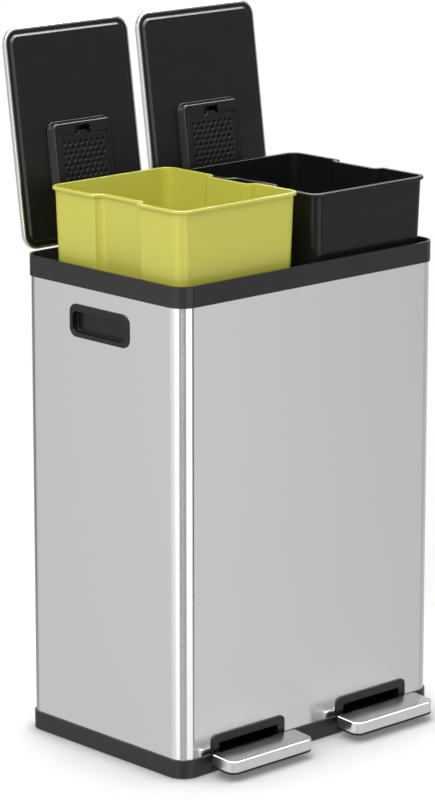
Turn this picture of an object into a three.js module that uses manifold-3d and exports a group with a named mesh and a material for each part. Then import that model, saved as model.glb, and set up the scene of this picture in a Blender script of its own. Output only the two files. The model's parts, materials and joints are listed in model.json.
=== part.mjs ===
// A double recycling bin: a steel body with two lift-out buckets, two pedal-worked lids and the
// levers, rods and dampers that join each pedal to its lid.
// Millimetres, +Z up, front towards -Y. The origin is on the floor, midway between the body's sides.
// Rest pose: lids open, pedals pressed, both buckets lifted part of the way out.

import * as THREE from 'three';
import { mergeVertices } from 'three/addons/utils/BufferGeometryUtils.js';
import Module from 'manifold-3d';

// ---------------------------------------------------------------- driving dimensions

const FIT = 0.3;                    // gap between pieces that touch or are fixed together
const RUN = 0.4;                    // gap between pieces that push on each other
const SLIDE = 1;                    // room round a piece that slides or swings in a slot

const BODY_WIDTH = 453;
const BODY_DEPTH = 300;
const BODY_HEIGHT = 640;            // floor to the collar's lip
const BODY_CORNER = 22;
const SHEET = 0.8;                  // steel sheet of the body and of the lids

const COLLAR_PROUD = 1.8;           // how far the collar stands outside the steel
const COLLAR_BAND = 27.4;           // height of the band that shows
const COLLAR_GRIP = 9.4;            // how far the band reaches down over the steel's top edge
const COLLAR_LIP = 3;               // wall of the lip
const COLLAR_WALL = 2;              // wall of the skirt inside the steel
const COLLAR_SKIRT = 25;            // how far that skirt hangs below the band's foot and grip
const COLLAR_BRIDGE = 3;            // thickness over the steel's top edge
const LEDGE = 3;                    // thickness of the shelf that the buckets hang from
const LEDGE_DEPTH = 27.6;           // lip down to the shelf

const BASE_LIFT = 1.2;              // floor to the base's lower edge
const BASE_TOP = 24.9;
const BASE_PROUD = 2.1;
const BASE_FLOOR = 3;               // floor plate of the base
const BASE_SEAT = 8.7;              // height on which the steel's lower edge stands
const BASE_UPSTAND = 22;            // top of the wall inside the steel
const FOOT_RADIUS = 12;
const FOOT_HEIGHT = 3.4;
const FOOT_WALL = 3;
const FOOT_INSET = 34;              // body's faces to a foot's centre

const FALSE_FLOOR = 50;             // underside of the floor over the levers
const FALSE_FLOOR_THICK = 3;
const FALSE_FLOOR_INSET = 2;
const BOSS_RADIUS = 6;
const BOSS_INSET_X = 31;
const BOSS_INSET_Y = 35;
const SCREW_SHANK = 1.5;
const SCREW_HEAD = 4;
const SCREW_HEAD_HEIGHT = 2;
const FLOOR_SCREW_LENGTH = 20;

const HANDLE_WIDTH = 113;           // frame of a handle cup, outside
const HANDLE_HEIGHT = 43;
const HANDLE_CORNER = 12;
const HANDLE_Y = 3;
const HANDLE_BELOW_LIP = 71.7;
const HANDLE_FLANGE = 1.3;
const HANDLE_BAND_FRONT = 8.5;      // frame left round the hollow
const HANDLE_BAND_REAR = 5.5;
const HANDLE_BAND_TOP = 9.5;
const HANDLE_BAND_BOTTOM = 5.5;
const HANDLE_MOUTH_CORNER = 8;
const HANDLE_CLEAR = 0.7;           // back of the hollow to the widest line of a seated bucket's wall
const HANDLE_WALL = 1.5;

const LID_MARGIN = 7.5;             // steel's faces to the closed lids
const LID_GAP = 17.6;               // between the two lids
const LID_HEIGHT = 8;               // depth of the tray's rim
const LID_CORNER = 20;
const LID_EDGE = 2.2;               // rounding of the tray's top edge
const LID_OPEN = 98;                // degrees
const HINGE_BEHIND = 1.1;           // hinge axis behind the steel's rear face
const HINGE_BELOW = 7;              // hinge axis below the lip
const LID_RIM_OVER_HINGE = 1.6;     // closed lid's rim above the hinge axis
const HINGE_PIN = 2.5;
const KNUCKLE = 5.2;
const KNUCKLE_HALF = 27;
const LUG = 5.5;
const LUG_WIDTH = 11.5;

const LINER_PLATE = 2.1;
const LINER_WALL = 2;
const LINER_WALL_TOP = 5;           // height of the liner's edge wall above its face
const PANEL_INSET = 8;              // lid's edge to the raised panel
const PANEL_SLOPE = 2.6;
const PANEL_PROUD = 2.5;            // panel beyond the rim
const BOX_WIDTH = 97.4;             // filter box on the underside
const BOX_LENGTH = 91.3;
const BOX_PROUD = 12;               // beyond the rim
const BOX_FROM_HINGE = 74;
const BOX_CORNER = 6;
const BOX_EDGE = 1.4;
const BOX_WALL = 2.2;
const DOOR_WIDTH = 85.2;
const DOOR_LENGTH = 69.7;
const DOOR_THICK = 2;
const DOOR_FROM_BOX_END = 5.4;
const DOOR_OPEN_ROOM = 1;           // gap behind the pivot edge
const HOLE_RADIUS = 2.4;
const HOLE_PITCH = 9.56;
const HOLE_ROW_PITCH = 7.15;
const HOLE_ROWS = 8;
const HOLES_PER_ROW = 8;
const HOLE_FIRST_ROW = 10.7;        // door's free edge to the first row
const NOTCH_WIDTH = 25;
const NOTCH_LENGTH = 11;
const TAB_WIDTH = 15;
const TAB_LENGTH = 4.5;
const CARTRIDGE_THICK = 9;
const CARTRIDGE_INSET = 2.4;

const ARM_WIDTH = 28;
const ARM_THICK = 4;
const ARM_REACH = 50;               // hinge axis to the arm's end under the lid
const CRANK_RADIUS = 15;
const CRANK_INNER = 10.5;            // lever's middle to the inside of each crank cheek
const CRANK_CHEEK = 4;
const CRANK_HALF_THICK = 3.2;
const CRANK_PAD = 3;                // radius of the bar between the cheeks, which sits on the rod

const BUCKET_SIDE_MARGIN = 6.4;     // steel's faces to the buckets' rims
const BUCKET_FRONT_MARGIN = 8;
const BUCKET_REAR_MARGIN = 39;
const BUCKET_GAP = 22.2;            // between the two rims
const BUCKET_OFF_FLOOR = 9;         // seated bucket's underside to the floor over the levers
const BUCKET_CORNER = 18;
const BUCKET_WALL = 2.2;
const BUCKET_FLOOR = 3;
const BUCKET_DRAFT = 1.5;           // degrees
const RIM_OUT = 3.8;
const RIM_HEIGHT = 4.3;
const RIM_ROUND = 0.9;
const BUCKET_FOOT_ROUND = 6;
const RECESS = 12;                  // depth of the hollow in each side wall
const RECESS_REAR = [40.5, 30.5];       // bucket's middle to the ends of the rear bend
const RECESS_FRONT = [-35.5, -45.5];    // and of the front bend
const RECESS_STEPS = 6;
const LIFTED = { left: 116, right: 108 };   // how far each bucket is lifted off its seat

const PEDAL_INWARD = 1.9;           // lid's middle to the pedal's, towards the bin's middle
const BEZEL_WIDTH = 128.5;
const BEZEL_TOP = 49.4;
const BEZEL_BOTTOM = 3.3;
const BEZEL_CORNER = 8;
const BEZEL_PROUD = 1.8;
const SLOT_WIDTH = 104;
const SLOT_TOP = 38.4;
const SLOT_BOTTOM = 7.5;
const SLEEVE_WALL = 1.6;
const SLEEVE_DEPTH = 6;
const AXLE_FROM_FRONT = 119;
const AXLE_Z = 24;
const AXLE_RADIUS = 4;
const AXLE_HALF = 30;
const LEVER_WIDTH = 22;
const LEVER_PAST_FRONT = 3;         // how far the lever's front end passes the steel's face
const LEVER_LOW = 6;                // strap's underside below the axle's centre
const LEVER_THICK = 3;
const HUB_RADIUS = 8;
const HUB_HALF = 17;
const NOSE_RADIUS = 4;
const AXLE_LUG_WIDTH = 8;
const TREAD_WIDTH = 146;
const TREAD_DEPTH = 39.6;
const TREAD_OFF_STEEL = 9.3;        // steel's face to the tread's rear edge
const TREAD_OVER = 14.66;           // tread's top above the axle, with the lever level
const TREAD_CORNER = 12;
const TREAD_REAR_CORNER = 4;
const TREAD_LIP = 14.4;
const TREAD_SHEET = 1;
const TREAD_EDGE = 0.8;
const TREAD_CORE_BELOW = 17.2;      // tread's top to the core's underside
const TREAD_CORE_PROUD = 0.5;
const NECK_WIDTH = 90;
const NECK_TOP = 5;
const NECK_INSIDE = 19;             // how far the neck reaches in behind the steel's face

const ROD_FROM_BACK = 11.5;
const ROD_TRAVEL = 24;
const ROD_WIDTH = 12;
const ROD_THICK = 4;
const ROD_FOOT = [20, 12, 5.6];     // width, depth, height
const ROD_HEAD = [18, 12, 3.5];
const DUCT_WIDTH = 44;
const DUCT_ROOM = 12;               // rod's middle to the duct's front
const DUCT_WALL = 1.6;
const DUCT_FLANGE = 10;
const DUCT_BOTTOM = 56;
const DUCT_SCREW_INSET = 60;
const DUCT_SCREW_LENGTH = 7;
const DAMPER_X = 13;                // beside the rod
const DAMPER_RADIUS = 5.5;
const DAMPER_BORE = 2.6;
const DAMPER_ROD = 2.2;
const DAMPER_BELOW_LIP = 261;
const DAMPER_LENGTH = 91;
const DAMPER_SHELF = 3;
const DAMPER_CLAMP = [25, 8.6, 6];
const CLAMP_BELOW_LIP = 100;
const DAMPER_ROD_LENGTH = 105;

// ---------------------------------------------------------------- worked-out sizes

const HALF_W = BODY_WIDTH / 2;
const HALF_D = BODY_DEPTH / 2;
const SHELL_BOTTOM = BASE_SEAT + FIT;
const BAND_BOTTOM = BODY_HEIGHT - COLLAR_BAND;
const SHELL_TOP = BAND_BOTTOM + COLLAR_GRIP;
const SKIRT_OUT = SHEET + FIT;                    // steel's outer face to the collar's skirt
const SKIRT_IN = SKIRT_OUT + COLLAR_WALL;
const LEDGE_TOP = BODY_HEIGHT - LEDGE_DEPTH;
const COLLAR_FOOT = LEDGE_TOP - LEDGE - COLLAR_SKIRT / 2;
const LID_WIDTH = HALF_W - LID_MARGIN - LID_GAP / 2;
const LID_LENGTH = BODY_DEPTH - 2 * LID_MARGIN;
const LID_X = (LID_GAP + LID_WIDTH) / 2;
const HINGE_Y = HALF_D + HINGE_BEHIND;
const HINGE_Z = BODY_HEIGHT - HINGE_BELOW;
const RIM_Z = HINGE_Z + LID_RIM_OVER_HINGE;       // closed lid's rim
const LID_TOP = RIM_Z + LID_HEIGHT;
const SEATED = LEDGE_TOP + FIT + RIM_HEIGHT;      // seated bucket's rim
const BUCKET_WIDTH = HALF_W - BUCKET_SIDE_MARGIN - BUCKET_GAP / 2;
const BUCKET_LENGTH = BODY_DEPTH - BUCKET_FRONT_MARGIN - BUCKET_REAR_MARGIN;
const BUCKET_X = (BUCKET_GAP + BUCKET_WIDTH) / 2;
const BUCKET_Y = (BUCKET_FRONT_MARGIN - BUCKET_REAR_MARGIN) / 2;
const BUCKET_HEIGHT = SEATED - FALSE_FLOOR - FALSE_FLOOR_THICK - BUCKET_OFF_FLOOR;
const HANDLE_Z = BODY_HEIGHT - HANDLE_BELOW_LIP;
const HANDLE_DEPTH = BUCKET_SIDE_MARGIN + RIM_OUT - HANDLE_CLEAR;
const PEDAL_X = LID_X - PEDAL_INWARD;
const AXLE_Y = AXLE_FROM_FRONT - HALF_D;
const ROD_Y = HALF_D - ROD_FROM_BACK;
const LEVER_REACH = ROD_Y - AXLE_Y;               // axle to the nose that lifts the rod
const LEVER_FRONT = AXLE_FROM_FRONT + LEVER_PAST_FRONT;
const TREAD_REAR = AXLE_FROM_FRONT + TREAD_OFF_STEEL;
const NECK_REACH = AXLE_FROM_FRONT - NECK_INSIDE;
const PEDAL_RAD = Math.asin(ROD_TRAVEL / 2 / LEVER_REACH);   // tilt either side of level
const DUCT_FRONT = ROD_Y - DUCT_ROOM;
const DAMPER_BOTTOM = BODY_HEIGHT - DAMPER_BELOW_LIP;
const DAMPER_CLAMP_Z = BODY_HEIGHT - CLAMP_BELOW_LIP;
const LID_RAD = THREE.MathUtils.degToRad(LID_OPEN);
const CRANK_DROP = CRANK_RADIUS * Math.sin(LID_RAD / 2);
const CRANK_OUT = CRANK_RADIUS * Math.cos(LID_RAD / 2);
const ROD_TOP = HINGE_Z + CRANK_DROP - CRANK_PAD - RUN;
const ROD_BOTTOM = AXLE_Z + LEVER_REACH * Math.sin(PEDAL_RAD) + NOSE_RADIUS + RUN;

const ARC_STEPS = 3;                // half the number of edges along a rounded corner
const SIDES = [['left', -1], ['right', 1]];

// ---------------------------------------------------------------- materials

const finish = (color, roughness, metalness) =>
  new THREE.MeshStandardMaterial({ color, roughness, metalness });
const steel = finish(0xbfc0c0, 0.35, 1);
const dullSteel = finish(0x9a9da0, 0.45, 1);
const treadSteel = finish(0xa8a8a8, 0.4, 1);
const greyPlastic = finish(0x424243, 0.5, 0);
const blackPlastic = finish(0x262627, 0.5, 0);
const innerPlastic = finish(0x1c1c1d, 0.6, 0);
const limePlastic = finish(0xc4c15a, 0.45, 0);
const filterFoam = finish(0x1a1a1a, 1, 0);
const rubber = finish(0x161616, 0.9, 0);

// ---------------------------------------------------------------- geometry helpers

const wasm = await Module();
wasm.setup();

/** A closed three.js geometry as a solid that can be joined and cut. */
function solid(geometry) {
  geometry.deleteAttribute('normal');
  geometry.deleteAttribute('uv');
  const merged = mergeVertices(geometry, 1e-4);
  return new wasm.Manifold(new wasm.Mesh({
    numProp: 3,
    vertProperties: new Float32Array(merged.attributes.position.array),
    triVerts: new Uint32Array(merged.index.array),
  }));
}

/** A solid as a named mesh, moved by an offset. */
function piece(name, body, material, offset = [0, 0, 0]) {
  const { vertProperties, triVerts } = body.getMesh();
  const geometry = new THREE.BufferGeometry();
  geometry.setAttribute('position', new THREE.BufferAttribute(new Float32Array(vertProperties), 3));
  geometry.setIndex(new THREE.BufferAttribute(new Uint32Array(triVerts), 1));
  geometry.computeVertexNormals();
  const mesh = new THREE.Mesh(geometry, material);
  mesh.name = name;
  mesh.position.set(...offset);
  return mesh;
}

const join = (...parts) => parts.reduce((whole, part) => whole.add(part));
const cut = (body, ...tools) => tools.reduce((whole, tool) => whole.subtract(tool), body);

/** A rectangle with rounded corners, as the points of its outline. */
function roundedRect(width, height, radius, x = 0, y = 0) {
  const path = new THREE.Path();
  const a = width / 2 - radius;
  const b = height / 2 - radius;
  path.absarc(x + a, y + b, radius, 0, Math.PI / 2);
  path.absarc(x - a, y + b, radius, Math.PI / 2, Math.PI);
  path.absarc(x - a, y - b, radius, Math.PI, 1.5 * Math.PI);
  path.absarc(x + a, y - b, radius, 1.5 * Math.PI, 2 * Math.PI);
  return path.getPoints(ARC_STEPS);
}

/** An outline pushed up from z0 to z1. */
function prism(outline, z0, z1) {
  const options = { depth: z1 - z0, bevelEnabled: false };
  const geometry = new THREE.ExtrudeGeometry(new THREE.Shape(outline), options);
  return solid(geometry.translate(0, 0, z0));
}

const onSideWall = new THREE.Matrix4().makeBasis(
  new THREE.Vector3(0, 1, 0), new THREE.Vector3(0, 0, 1), new THREE.Vector3(1, 0, 0));
const onFrontWall = new THREE.Matrix4().makeBasis(
  new THREE.Vector3(1, 0, 0), new THREE.Vector3(0, 0, 1), new THREE.Vector3(0, -1, 0));

/** An outline drawn in Y and Z, pushed along X from x0 to x1. */
function prismX(outline, x0, x1) {
  const options = { depth: x1 - x0, bevelEnabled: false };
  const geometry = new THREE.ExtrudeGeometry(new THREE.Shape(outline), options);
  return solid(geometry.applyMatrix4(onSideWall).translate(x0, 0, 0));
}

/** An outline drawn in X and Z, pushed along Y from y0 to y1. */
function prismY(outline, y0, y1) {
  const options = { depth: y1 - y0, bevelEnabled: false };
  const geometry = new THREE.ExtrudeGeometry(new THREE.Shape(outline), options);
  return solid(geometry.applyMatrix4(onFrontWall).translate(0, y1, 0));
}

/** A block between two corners. */
function block(x0, x1, y0, y1, z0, z1) {
  const geometry = new THREE.BoxGeometry(x1 - x0, y1 - y0, z1 - z0);
  return solid(geometry.translate((x0 + x1) / 2, (y0 + y1) / 2, (z0 + z1) / 2));
}

/** A round bar along X. */
function barX(radius, x0, x1, y, z, sides = 16) {
  const geometry = new THREE.CylinderGeometry(radius, radius, x1 - x0, sides).rotateZ(Math.PI / 2);
  return solid(geometry.translate((x0 + x1) / 2, y, z));
}

/** A round bar along Y. */
function barY(radius, x, y0, y1, z, sides = 16) {
  const geometry = new THREE.CylinderGeometry(radius, radius, y1 - y0, sides);
  return solid(geometry.translate(x, (y0 + y1) / 2, z));
}

/** A round bar along Z. */
function barZ(radius, x, y, z0, z1, sides = 16) {
  const geometry = new THREE.CylinderGeometry(radius, radius, z1 - z0, sides).rotateX(Math.PI / 2);
  return solid(geometry.translate(x, y, (z0 + z1) / 2));
}

/** A closed skin over outlines with equal numbers of points, each at its own height, lowest first. */
function loft(sections) {
  const count = sections[0].outline.length;
  const positions = sections.flatMap(({ outline, z }) => outline.flatMap((p) => [p.x, p.y, z]));
  const last = (sections.length - 1) * count;
  const index = [];
  for (let ring = 0; ring < last; ring += count) {
    for (let i = 0; i < count; i += 1) {
      const j = (i + 1) % count;
      index.push(ring + i, ring + j, ring + count + j, ring + i, ring + count + j, ring + count + i);
    }
  }
  for (const [a, b, c] of THREE.ShapeUtils.triangulateShape(sections[0].outline, [])) {
    index.push(a, c, b);
  }
  for (const [a, b, c] of THREE.ShapeUtils.triangulateShape(sections.at(-1).outline, [])) {
    index.push(last + a, last + b, last + c);
  }
  const geometry = new THREE.BufferGeometry();
  geometry.setAttribute('position', new THREE.Float32BufferAttribute(positions, 3));
  geometry.setIndex(index);
  return solid(geometry);
}

/** The body's outline, inset by a distance (negative is outside). */
const bodyOutline = (inset) =>
  roundedRect(BODY_WIDTH - 2 * inset, BODY_DEPTH - 2 * inset, BODY_CORNER - inset);

/** A wall that follows the body's outline between two insets. */
const bodyWall = (outer, inner, z0, z1) =>
  cut(prism(bodyOutline(outer), z0, z1), prism(bodyOutline(inner), z0 - 1, z1 + 1));

// ---------------------------------------------------------------- body

/** Cuts through the steel, the base and the collar, shared so that every hole lines up. */
const handleMouth = {
  width: HANDLE_WIDTH - HANDLE_BAND_FRONT - HANDLE_BAND_REAR,
  height: HANDLE_HEIGHT - HANDLE_BAND_TOP - HANDLE_BAND_BOTTOM,
  y: HANDLE_Y + (HANDLE_BAND_FRONT - HANDLE_BAND_REAR) / 2,
  z: HANDLE_Z + (HANDLE_BAND_BOTTOM - HANDLE_BAND_TOP) / 2,
};

/** The handle's mouth grown by a wall, as an outline in Y and Z. */
const handleOutline = (grow) => roundedRect(
  handleMouth.width + 2 * grow, handleMouth.height + 2 * grow, HANDLE_MOUTH_CORNER + grow,
  handleMouth.y, handleMouth.z);

/** The hole for a bezel's sleeve. */
const sleeveHole = (side) => {
  const half = SLOT_WIDTH / 2 + SLEEVE_WALL + FIT;
  const x = side * PEDAL_X;
  return block(x - half, x + half, -HALF_D - 5, -HALF_D + SLEEVE_DEPTH + FIT,
    SLOT_BOTTOM - SLEEVE_WALL - FIT, SLOT_TOP + SLEEVE_WALL + FIT);
};

const ductScrewHeights = [DUCT_BOTTOM + DUCT_SCREW_INSET, COLLAR_FOOT - DUCT_SCREW_INSET];
const ductScrewX = (side) => side * LID_X + (DUCT_WIDTH + DUCT_FLANGE) / 2;

function steelShell() {
  const shell = bodyWall(0, SHEET, SHELL_BOTTOM, SHELL_TOP);
  const holes = SIDES.flatMap(([, side]) => {
    const x = side * HALF_W;
    return [
      prismX(handleOutline(HANDLE_WALL + FIT), x - 5, x + 5),
      sleeveHole(side),
      ...ductScrewHeights.map((z) => barY(SCREW_SHANK + FIT, ductScrewX(side), HALF_D - 5, HALF_D + 5, z)),
    ];
  });
  return piece('steel_shell', cut(shell, ...holes), steel);
}

function topCollar() {
  const proud = -COLLAR_PROUD;
  const band = bodyWall(proud, -FIT, BAND_BOTTOM, SHELL_TOP + FIT + COLLAR_BRIDGE);
  const bridge = bodyWall(proud, SKIRT_IN, SHELL_TOP + FIT, SHELL_TOP + FIT + COLLAR_BRIDGE);
  const lip = bodyWall(proud, proud + COLLAR_LIP, SHELL_TOP + FIT, BODY_HEIGHT);
  const skirt = bodyWall(SKIRT_OUT, SKIRT_IN, COLLAR_FOOT, SHELL_TOP + FIT + COLLAR_BRIDGE);
  const ledge = prism(bodyOutline(SKIRT_OUT + COLLAR_WALL / 2), LEDGE_TOP - LEDGE, LEDGE_TOP);
  const wallOut = RIM_OUT - SLIDE;
  const openings = SIDES.flatMap(([, side]) => [
    prism(
      roundedRect(BUCKET_WIDTH - 2 * wallOut, BUCKET_LENGTH - 2 * wallOut, BUCKET_CORNER - wallOut,
        side * BUCKET_X, BUCKET_Y),
      LEDGE_TOP - LEDGE - 1, LEDGE_TOP + 1),
    block(side * LID_X - ROD_WIDTH / 2 - SLIDE, side * LID_X + ROD_WIDTH / 2 + SLIDE,
      ROD_Y - ROD_THICK / 2 - SLIDE, ROD_Y + ROD_THICK / 2 + SLIDE, LEDGE_TOP - LEDGE - 1, LEDGE_TOP + 1),
  ]);
  const lugStart = KNUCKLE_HALF + SLIDE + FIT;
  const notches = SIDES.flatMap(([, side]) => {
    const x = side * LID_X;
    return [
      block(x - lugStart, x + lugStart, HINGE_Y - KNUCKLE - FIT, HALF_D + 5,
        SHELL_TOP + FIT + COLLAR_BRIDGE, BODY_HEIGHT + 1),
      block(x - lugStart, x + lugStart, HINGE_Y - KNUCKLE - 5, HALF_D - SKIRT_OUT,
        LEDGE_TOP, BODY_HEIGHT + 1),
    ];
  });
  const lugs = SIDES.flatMap(([, side]) => [-1, 1].flatMap((end) => {
    const near = side * LID_X + end * lugStart;
    const far = near + end * LUG_WIDTH;
    const [x0, x1] = [Math.min(near, far), Math.max(near, far)];
    return [
      barX(LUG, x0, x1, HINGE_Y, HINGE_Z),
      block(x0, x1, HINGE_Y - LUG, HINGE_Y + 0.6, SHELL_TOP + FIT, HINGE_Z),
    ];
  }));
  const bores = SIDES.map(([, side]) => barX(HINGE_PIN + FIT, side * LID_X - KNUCKLE_HALF - LUG_WIDTH - 5,
    side * LID_X + KNUCKLE_HALF + LUG_WIDTH + 5, HINGE_Y, HINGE_Z));
  const ring = cut(join(band, bridge, lip, skirt, ledge), ...openings, ...notches);
  return piece('top_collar', cut(join(ring, ...lugs), ...bores), greyPlastic);
}

const corners = (insetX, insetY) => [[-1, -1], [1, -1], [1, 1], [-1, 1]]
  .map(([i, j]) => [i * (HALF_W - insetX), j * (HALF_D - insetY)]);
const feetPlaces = corners(FOOT_INSET, FOOT_INSET);
const bossPlaces = corners(BOSS_INSET_X, BOSS_INSET_Y);
const CORNER_NAMES = ['front_left', 'front_right', 'rear_right', 'rear_left'];

function baseTray() {
  const plateTop = BASE_LIFT + BASE_FLOOR;
  const plate = prism(bodyOutline(-BASE_PROUD), BASE_LIFT, plateTop);
  const skirt = bodyWall(-BASE_PROUD, -FIT, BASE_LIFT, BASE_TOP);
  const seat = bodyWall(-BASE_PROUD, SKIRT_IN, BASE_LIFT, BASE_SEAT);
  const upstand = bodyWall(SKIRT_OUT, SKIRT_IN, BASE_LIFT, BASE_UPSTAND);
  const bosses = bossPlaces.map(([x, y]) => barZ(BOSS_RADIUS, x, y, BASE_LIFT + 1, FALSE_FLOOR - FIT));
  const cups = feetPlaces.map(([x, y]) =>
    barZ(FOOT_RADIUS + FIT + FOOT_WALL, x, y, BASE_LIFT, FOOT_HEIGHT + FIT + FOOT_WALL));
  const axleLugs = SIDES.flatMap(([, side]) => [-1, 1].flatMap((end) => {
    const middle = side * PEDAL_X + end * (HUB_HALF + SLIDE + AXLE_LUG_WIDTH / 2);
    const [x0, x1] = [middle - AXLE_LUG_WIDTH / 2, middle + AXLE_LUG_WIDTH / 2];
    return [
      block(x0, x1, AXLE_Y - HUB_RADIUS, AXLE_Y + HUB_RADIUS, BASE_LIFT + 1, AXLE_Z),
      barX(HUB_RADIUS, x0, x1, AXLE_Y, AXLE_Z),
    ];
  }));
  const cuts = [
    ...feetPlaces.map(([x, y]) => barZ(FOOT_RADIUS + FIT, x, y, 0, FOOT_HEIGHT + FIT)),
    ...bossPlaces.map(([x, y]) =>
      barZ(SCREW_SHANK + FIT, x, y, FALSE_FLOOR - FLOOR_SCREW_LENGTH, FALSE_FLOOR)),
    ...SIDES.flatMap(([, side]) => [
      barX(AXLE_RADIUS + FIT, side * PEDAL_X - AXLE_HALF - 5, side * PEDAL_X + AXLE_HALF + 5, AXLE_Y, AXLE_Z),
      sleeveHole(side),
      block(side * PEDAL_X - BEZEL_WIDTH / 2 - FIT, side * PEDAL_X + BEZEL_WIDTH / 2 + FIT,
        -HALF_D - 5, -HALF_D - FIT / 2, BEZEL_BOTTOM - FIT, BASE_TOP + 1),
    ]),
  ];
  return piece('base_tray', cut(join(plate, skirt, seat, upstand, ...bosses, ...cups, ...axleLugs), ...cuts),
    greyPlastic);
}

const feet = () => feetPlaces.map(([x, y], i) =>
  piece(`foot_${CORNER_NAMES[i]}`, barZ(FOOT_RADIUS, x, y, 0, FOOT_HEIGHT), rubber));

function falseFloor() {
  const top = FALSE_FLOOR + FALSE_FLOOR_THICK;
  const plate = prism(bodyOutline(SHEET + FALSE_FLOOR_INSET), FALSE_FLOOR, top);
  const slots = SIDES.map(([, side]) => {
    const x = side * LID_X;
    return block(x - ROD_WIDTH / 2 - SLIDE, x + ROD_WIDTH / 2 + SLIDE,
      ROD_Y - ROD_THICK / 2 - SLIDE, ROD_Y + ROD_THICK / 2 + SLIDE, FALSE_FLOOR - 1, top + 1);
  });
  const holes = bossPlaces.map(([x, y]) => barZ(SCREW_SHANK + FIT, x, y, FALSE_FLOOR - 1, top + 1));
  return piece('false_floor', cut(plate, ...slots, ...holes), innerPlastic);
}

const floorScrews = () => bossPlaces.map(([x, y], i) => {
  const seat = FALSE_FLOOR + FALSE_FLOOR_THICK + FIT;
  const screw = join(
    barZ(SCREW_SHANK, x, y, seat - FLOOR_SCREW_LENGTH, seat + 1, 12),
    barZ(SCREW_HEAD, x, y, seat, seat + SCREW_HEAD_HEIGHT, 16));
  return piece(`floor_screw_${CORNER_NAMES[i]}`, screw, dullSteel);
});

function handleCup(name, side) {
  const face = HALF_W + FIT;
  const flange = prismX(
    roundedRect(HANDLE_WIDTH, HANDLE_HEIGHT, HANDLE_CORNER, HANDLE_Y, HANDLE_Z), face, face + HANDLE_FLANGE);
  const cup = prismX(handleOutline(HANDLE_WALL), HALF_W - HANDLE_DEPTH, face + 1);
  const hollow = prismX(handleOutline(0), HALF_W - HANDLE_DEPTH + HANDLE_WALL, face + HANDLE_FLANGE + 1);
  const cupSolid = cut(join(flange, cup), hollow);
  return piece(`handle_cup_${name}`, side > 0 ? cupSolid : cupSolid.mirror([1, 0, 0]), blackPlastic);
}

// ---------------------------------------------------------------- pedals

function bezel(name, side) {
  const x = side * PEDAL_X;
  const half = BEZEL_WIDTH / 2;
  const arch = new THREE.Path();
  arch.moveTo(x - half, BEZEL_BOTTOM);
  arch.lineTo(x + half, BEZEL_BOTTOM);
  arch.absarc(x + half - BEZEL_CORNER, BEZEL_TOP - BEZEL_CORNER, BEZEL_CORNER, 0, Math.PI / 2);
  arch.absarc(x - half + BEZEL_CORNER, BEZEL_TOP - BEZEL_CORNER, BEZEL_CORNER, Math.PI / 2, Math.PI);
  const face = -HALF_D - FIT;
  const frame = prismY(arch.getPoints(ARC_STEPS), face - BEZEL_PROUD, face);
  const slotHalf = SLOT_WIDTH / 2;
  const sleeve = block(x - slotHalf - SLEEVE_WALL, x + slotHalf + SLEEVE_WALL,
    face - 1, -HALF_D + SLEEVE_DEPTH, SLOT_BOTTOM - SLEEVE_WALL, SLOT_TOP + SLEEVE_WALL);
  const slot = block(x - slotHalf, x + slotHalf, face - BEZEL_PROUD - 1, -HALF_D + SLEEVE_DEPTH + 1,
    SLOT_BOTTOM, SLOT_TOP);
  return piece(`pedal_bezel_${name}`, cut(join(frame, sleeve), slot), blackPlastic);
}

/** The tread seen from above, grown by a distance, with its rear edge kept. */
function treadOutline(grow) {
  const half = TREAD_WIDTH / 2 + grow;
  const rear = -TREAD_REAR + grow;
  const front = -TREAD_REAR - TREAD_DEPTH - grow;
  const round = TREAD_CORNER + grow;
  const rearRound = Math.max(TREAD_REAR_CORNER + grow, 1);
  const path = new THREE.Path();
  path.absarc(half - rearRound, rear - rearRound, rearRound, 0, Math.PI / 2);
  path.absarc(-half + rearRound, rear - rearRound, rearRound, Math.PI / 2, Math.PI);
  path.absarc(-half + round, front + round, round, Math.PI, 1.5 * Math.PI);
  path.absarc(half - round, front + round, round, 1.5 * Math.PI, 2 * Math.PI);
  return path.getPoints(ARC_STEPS);
}

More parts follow.
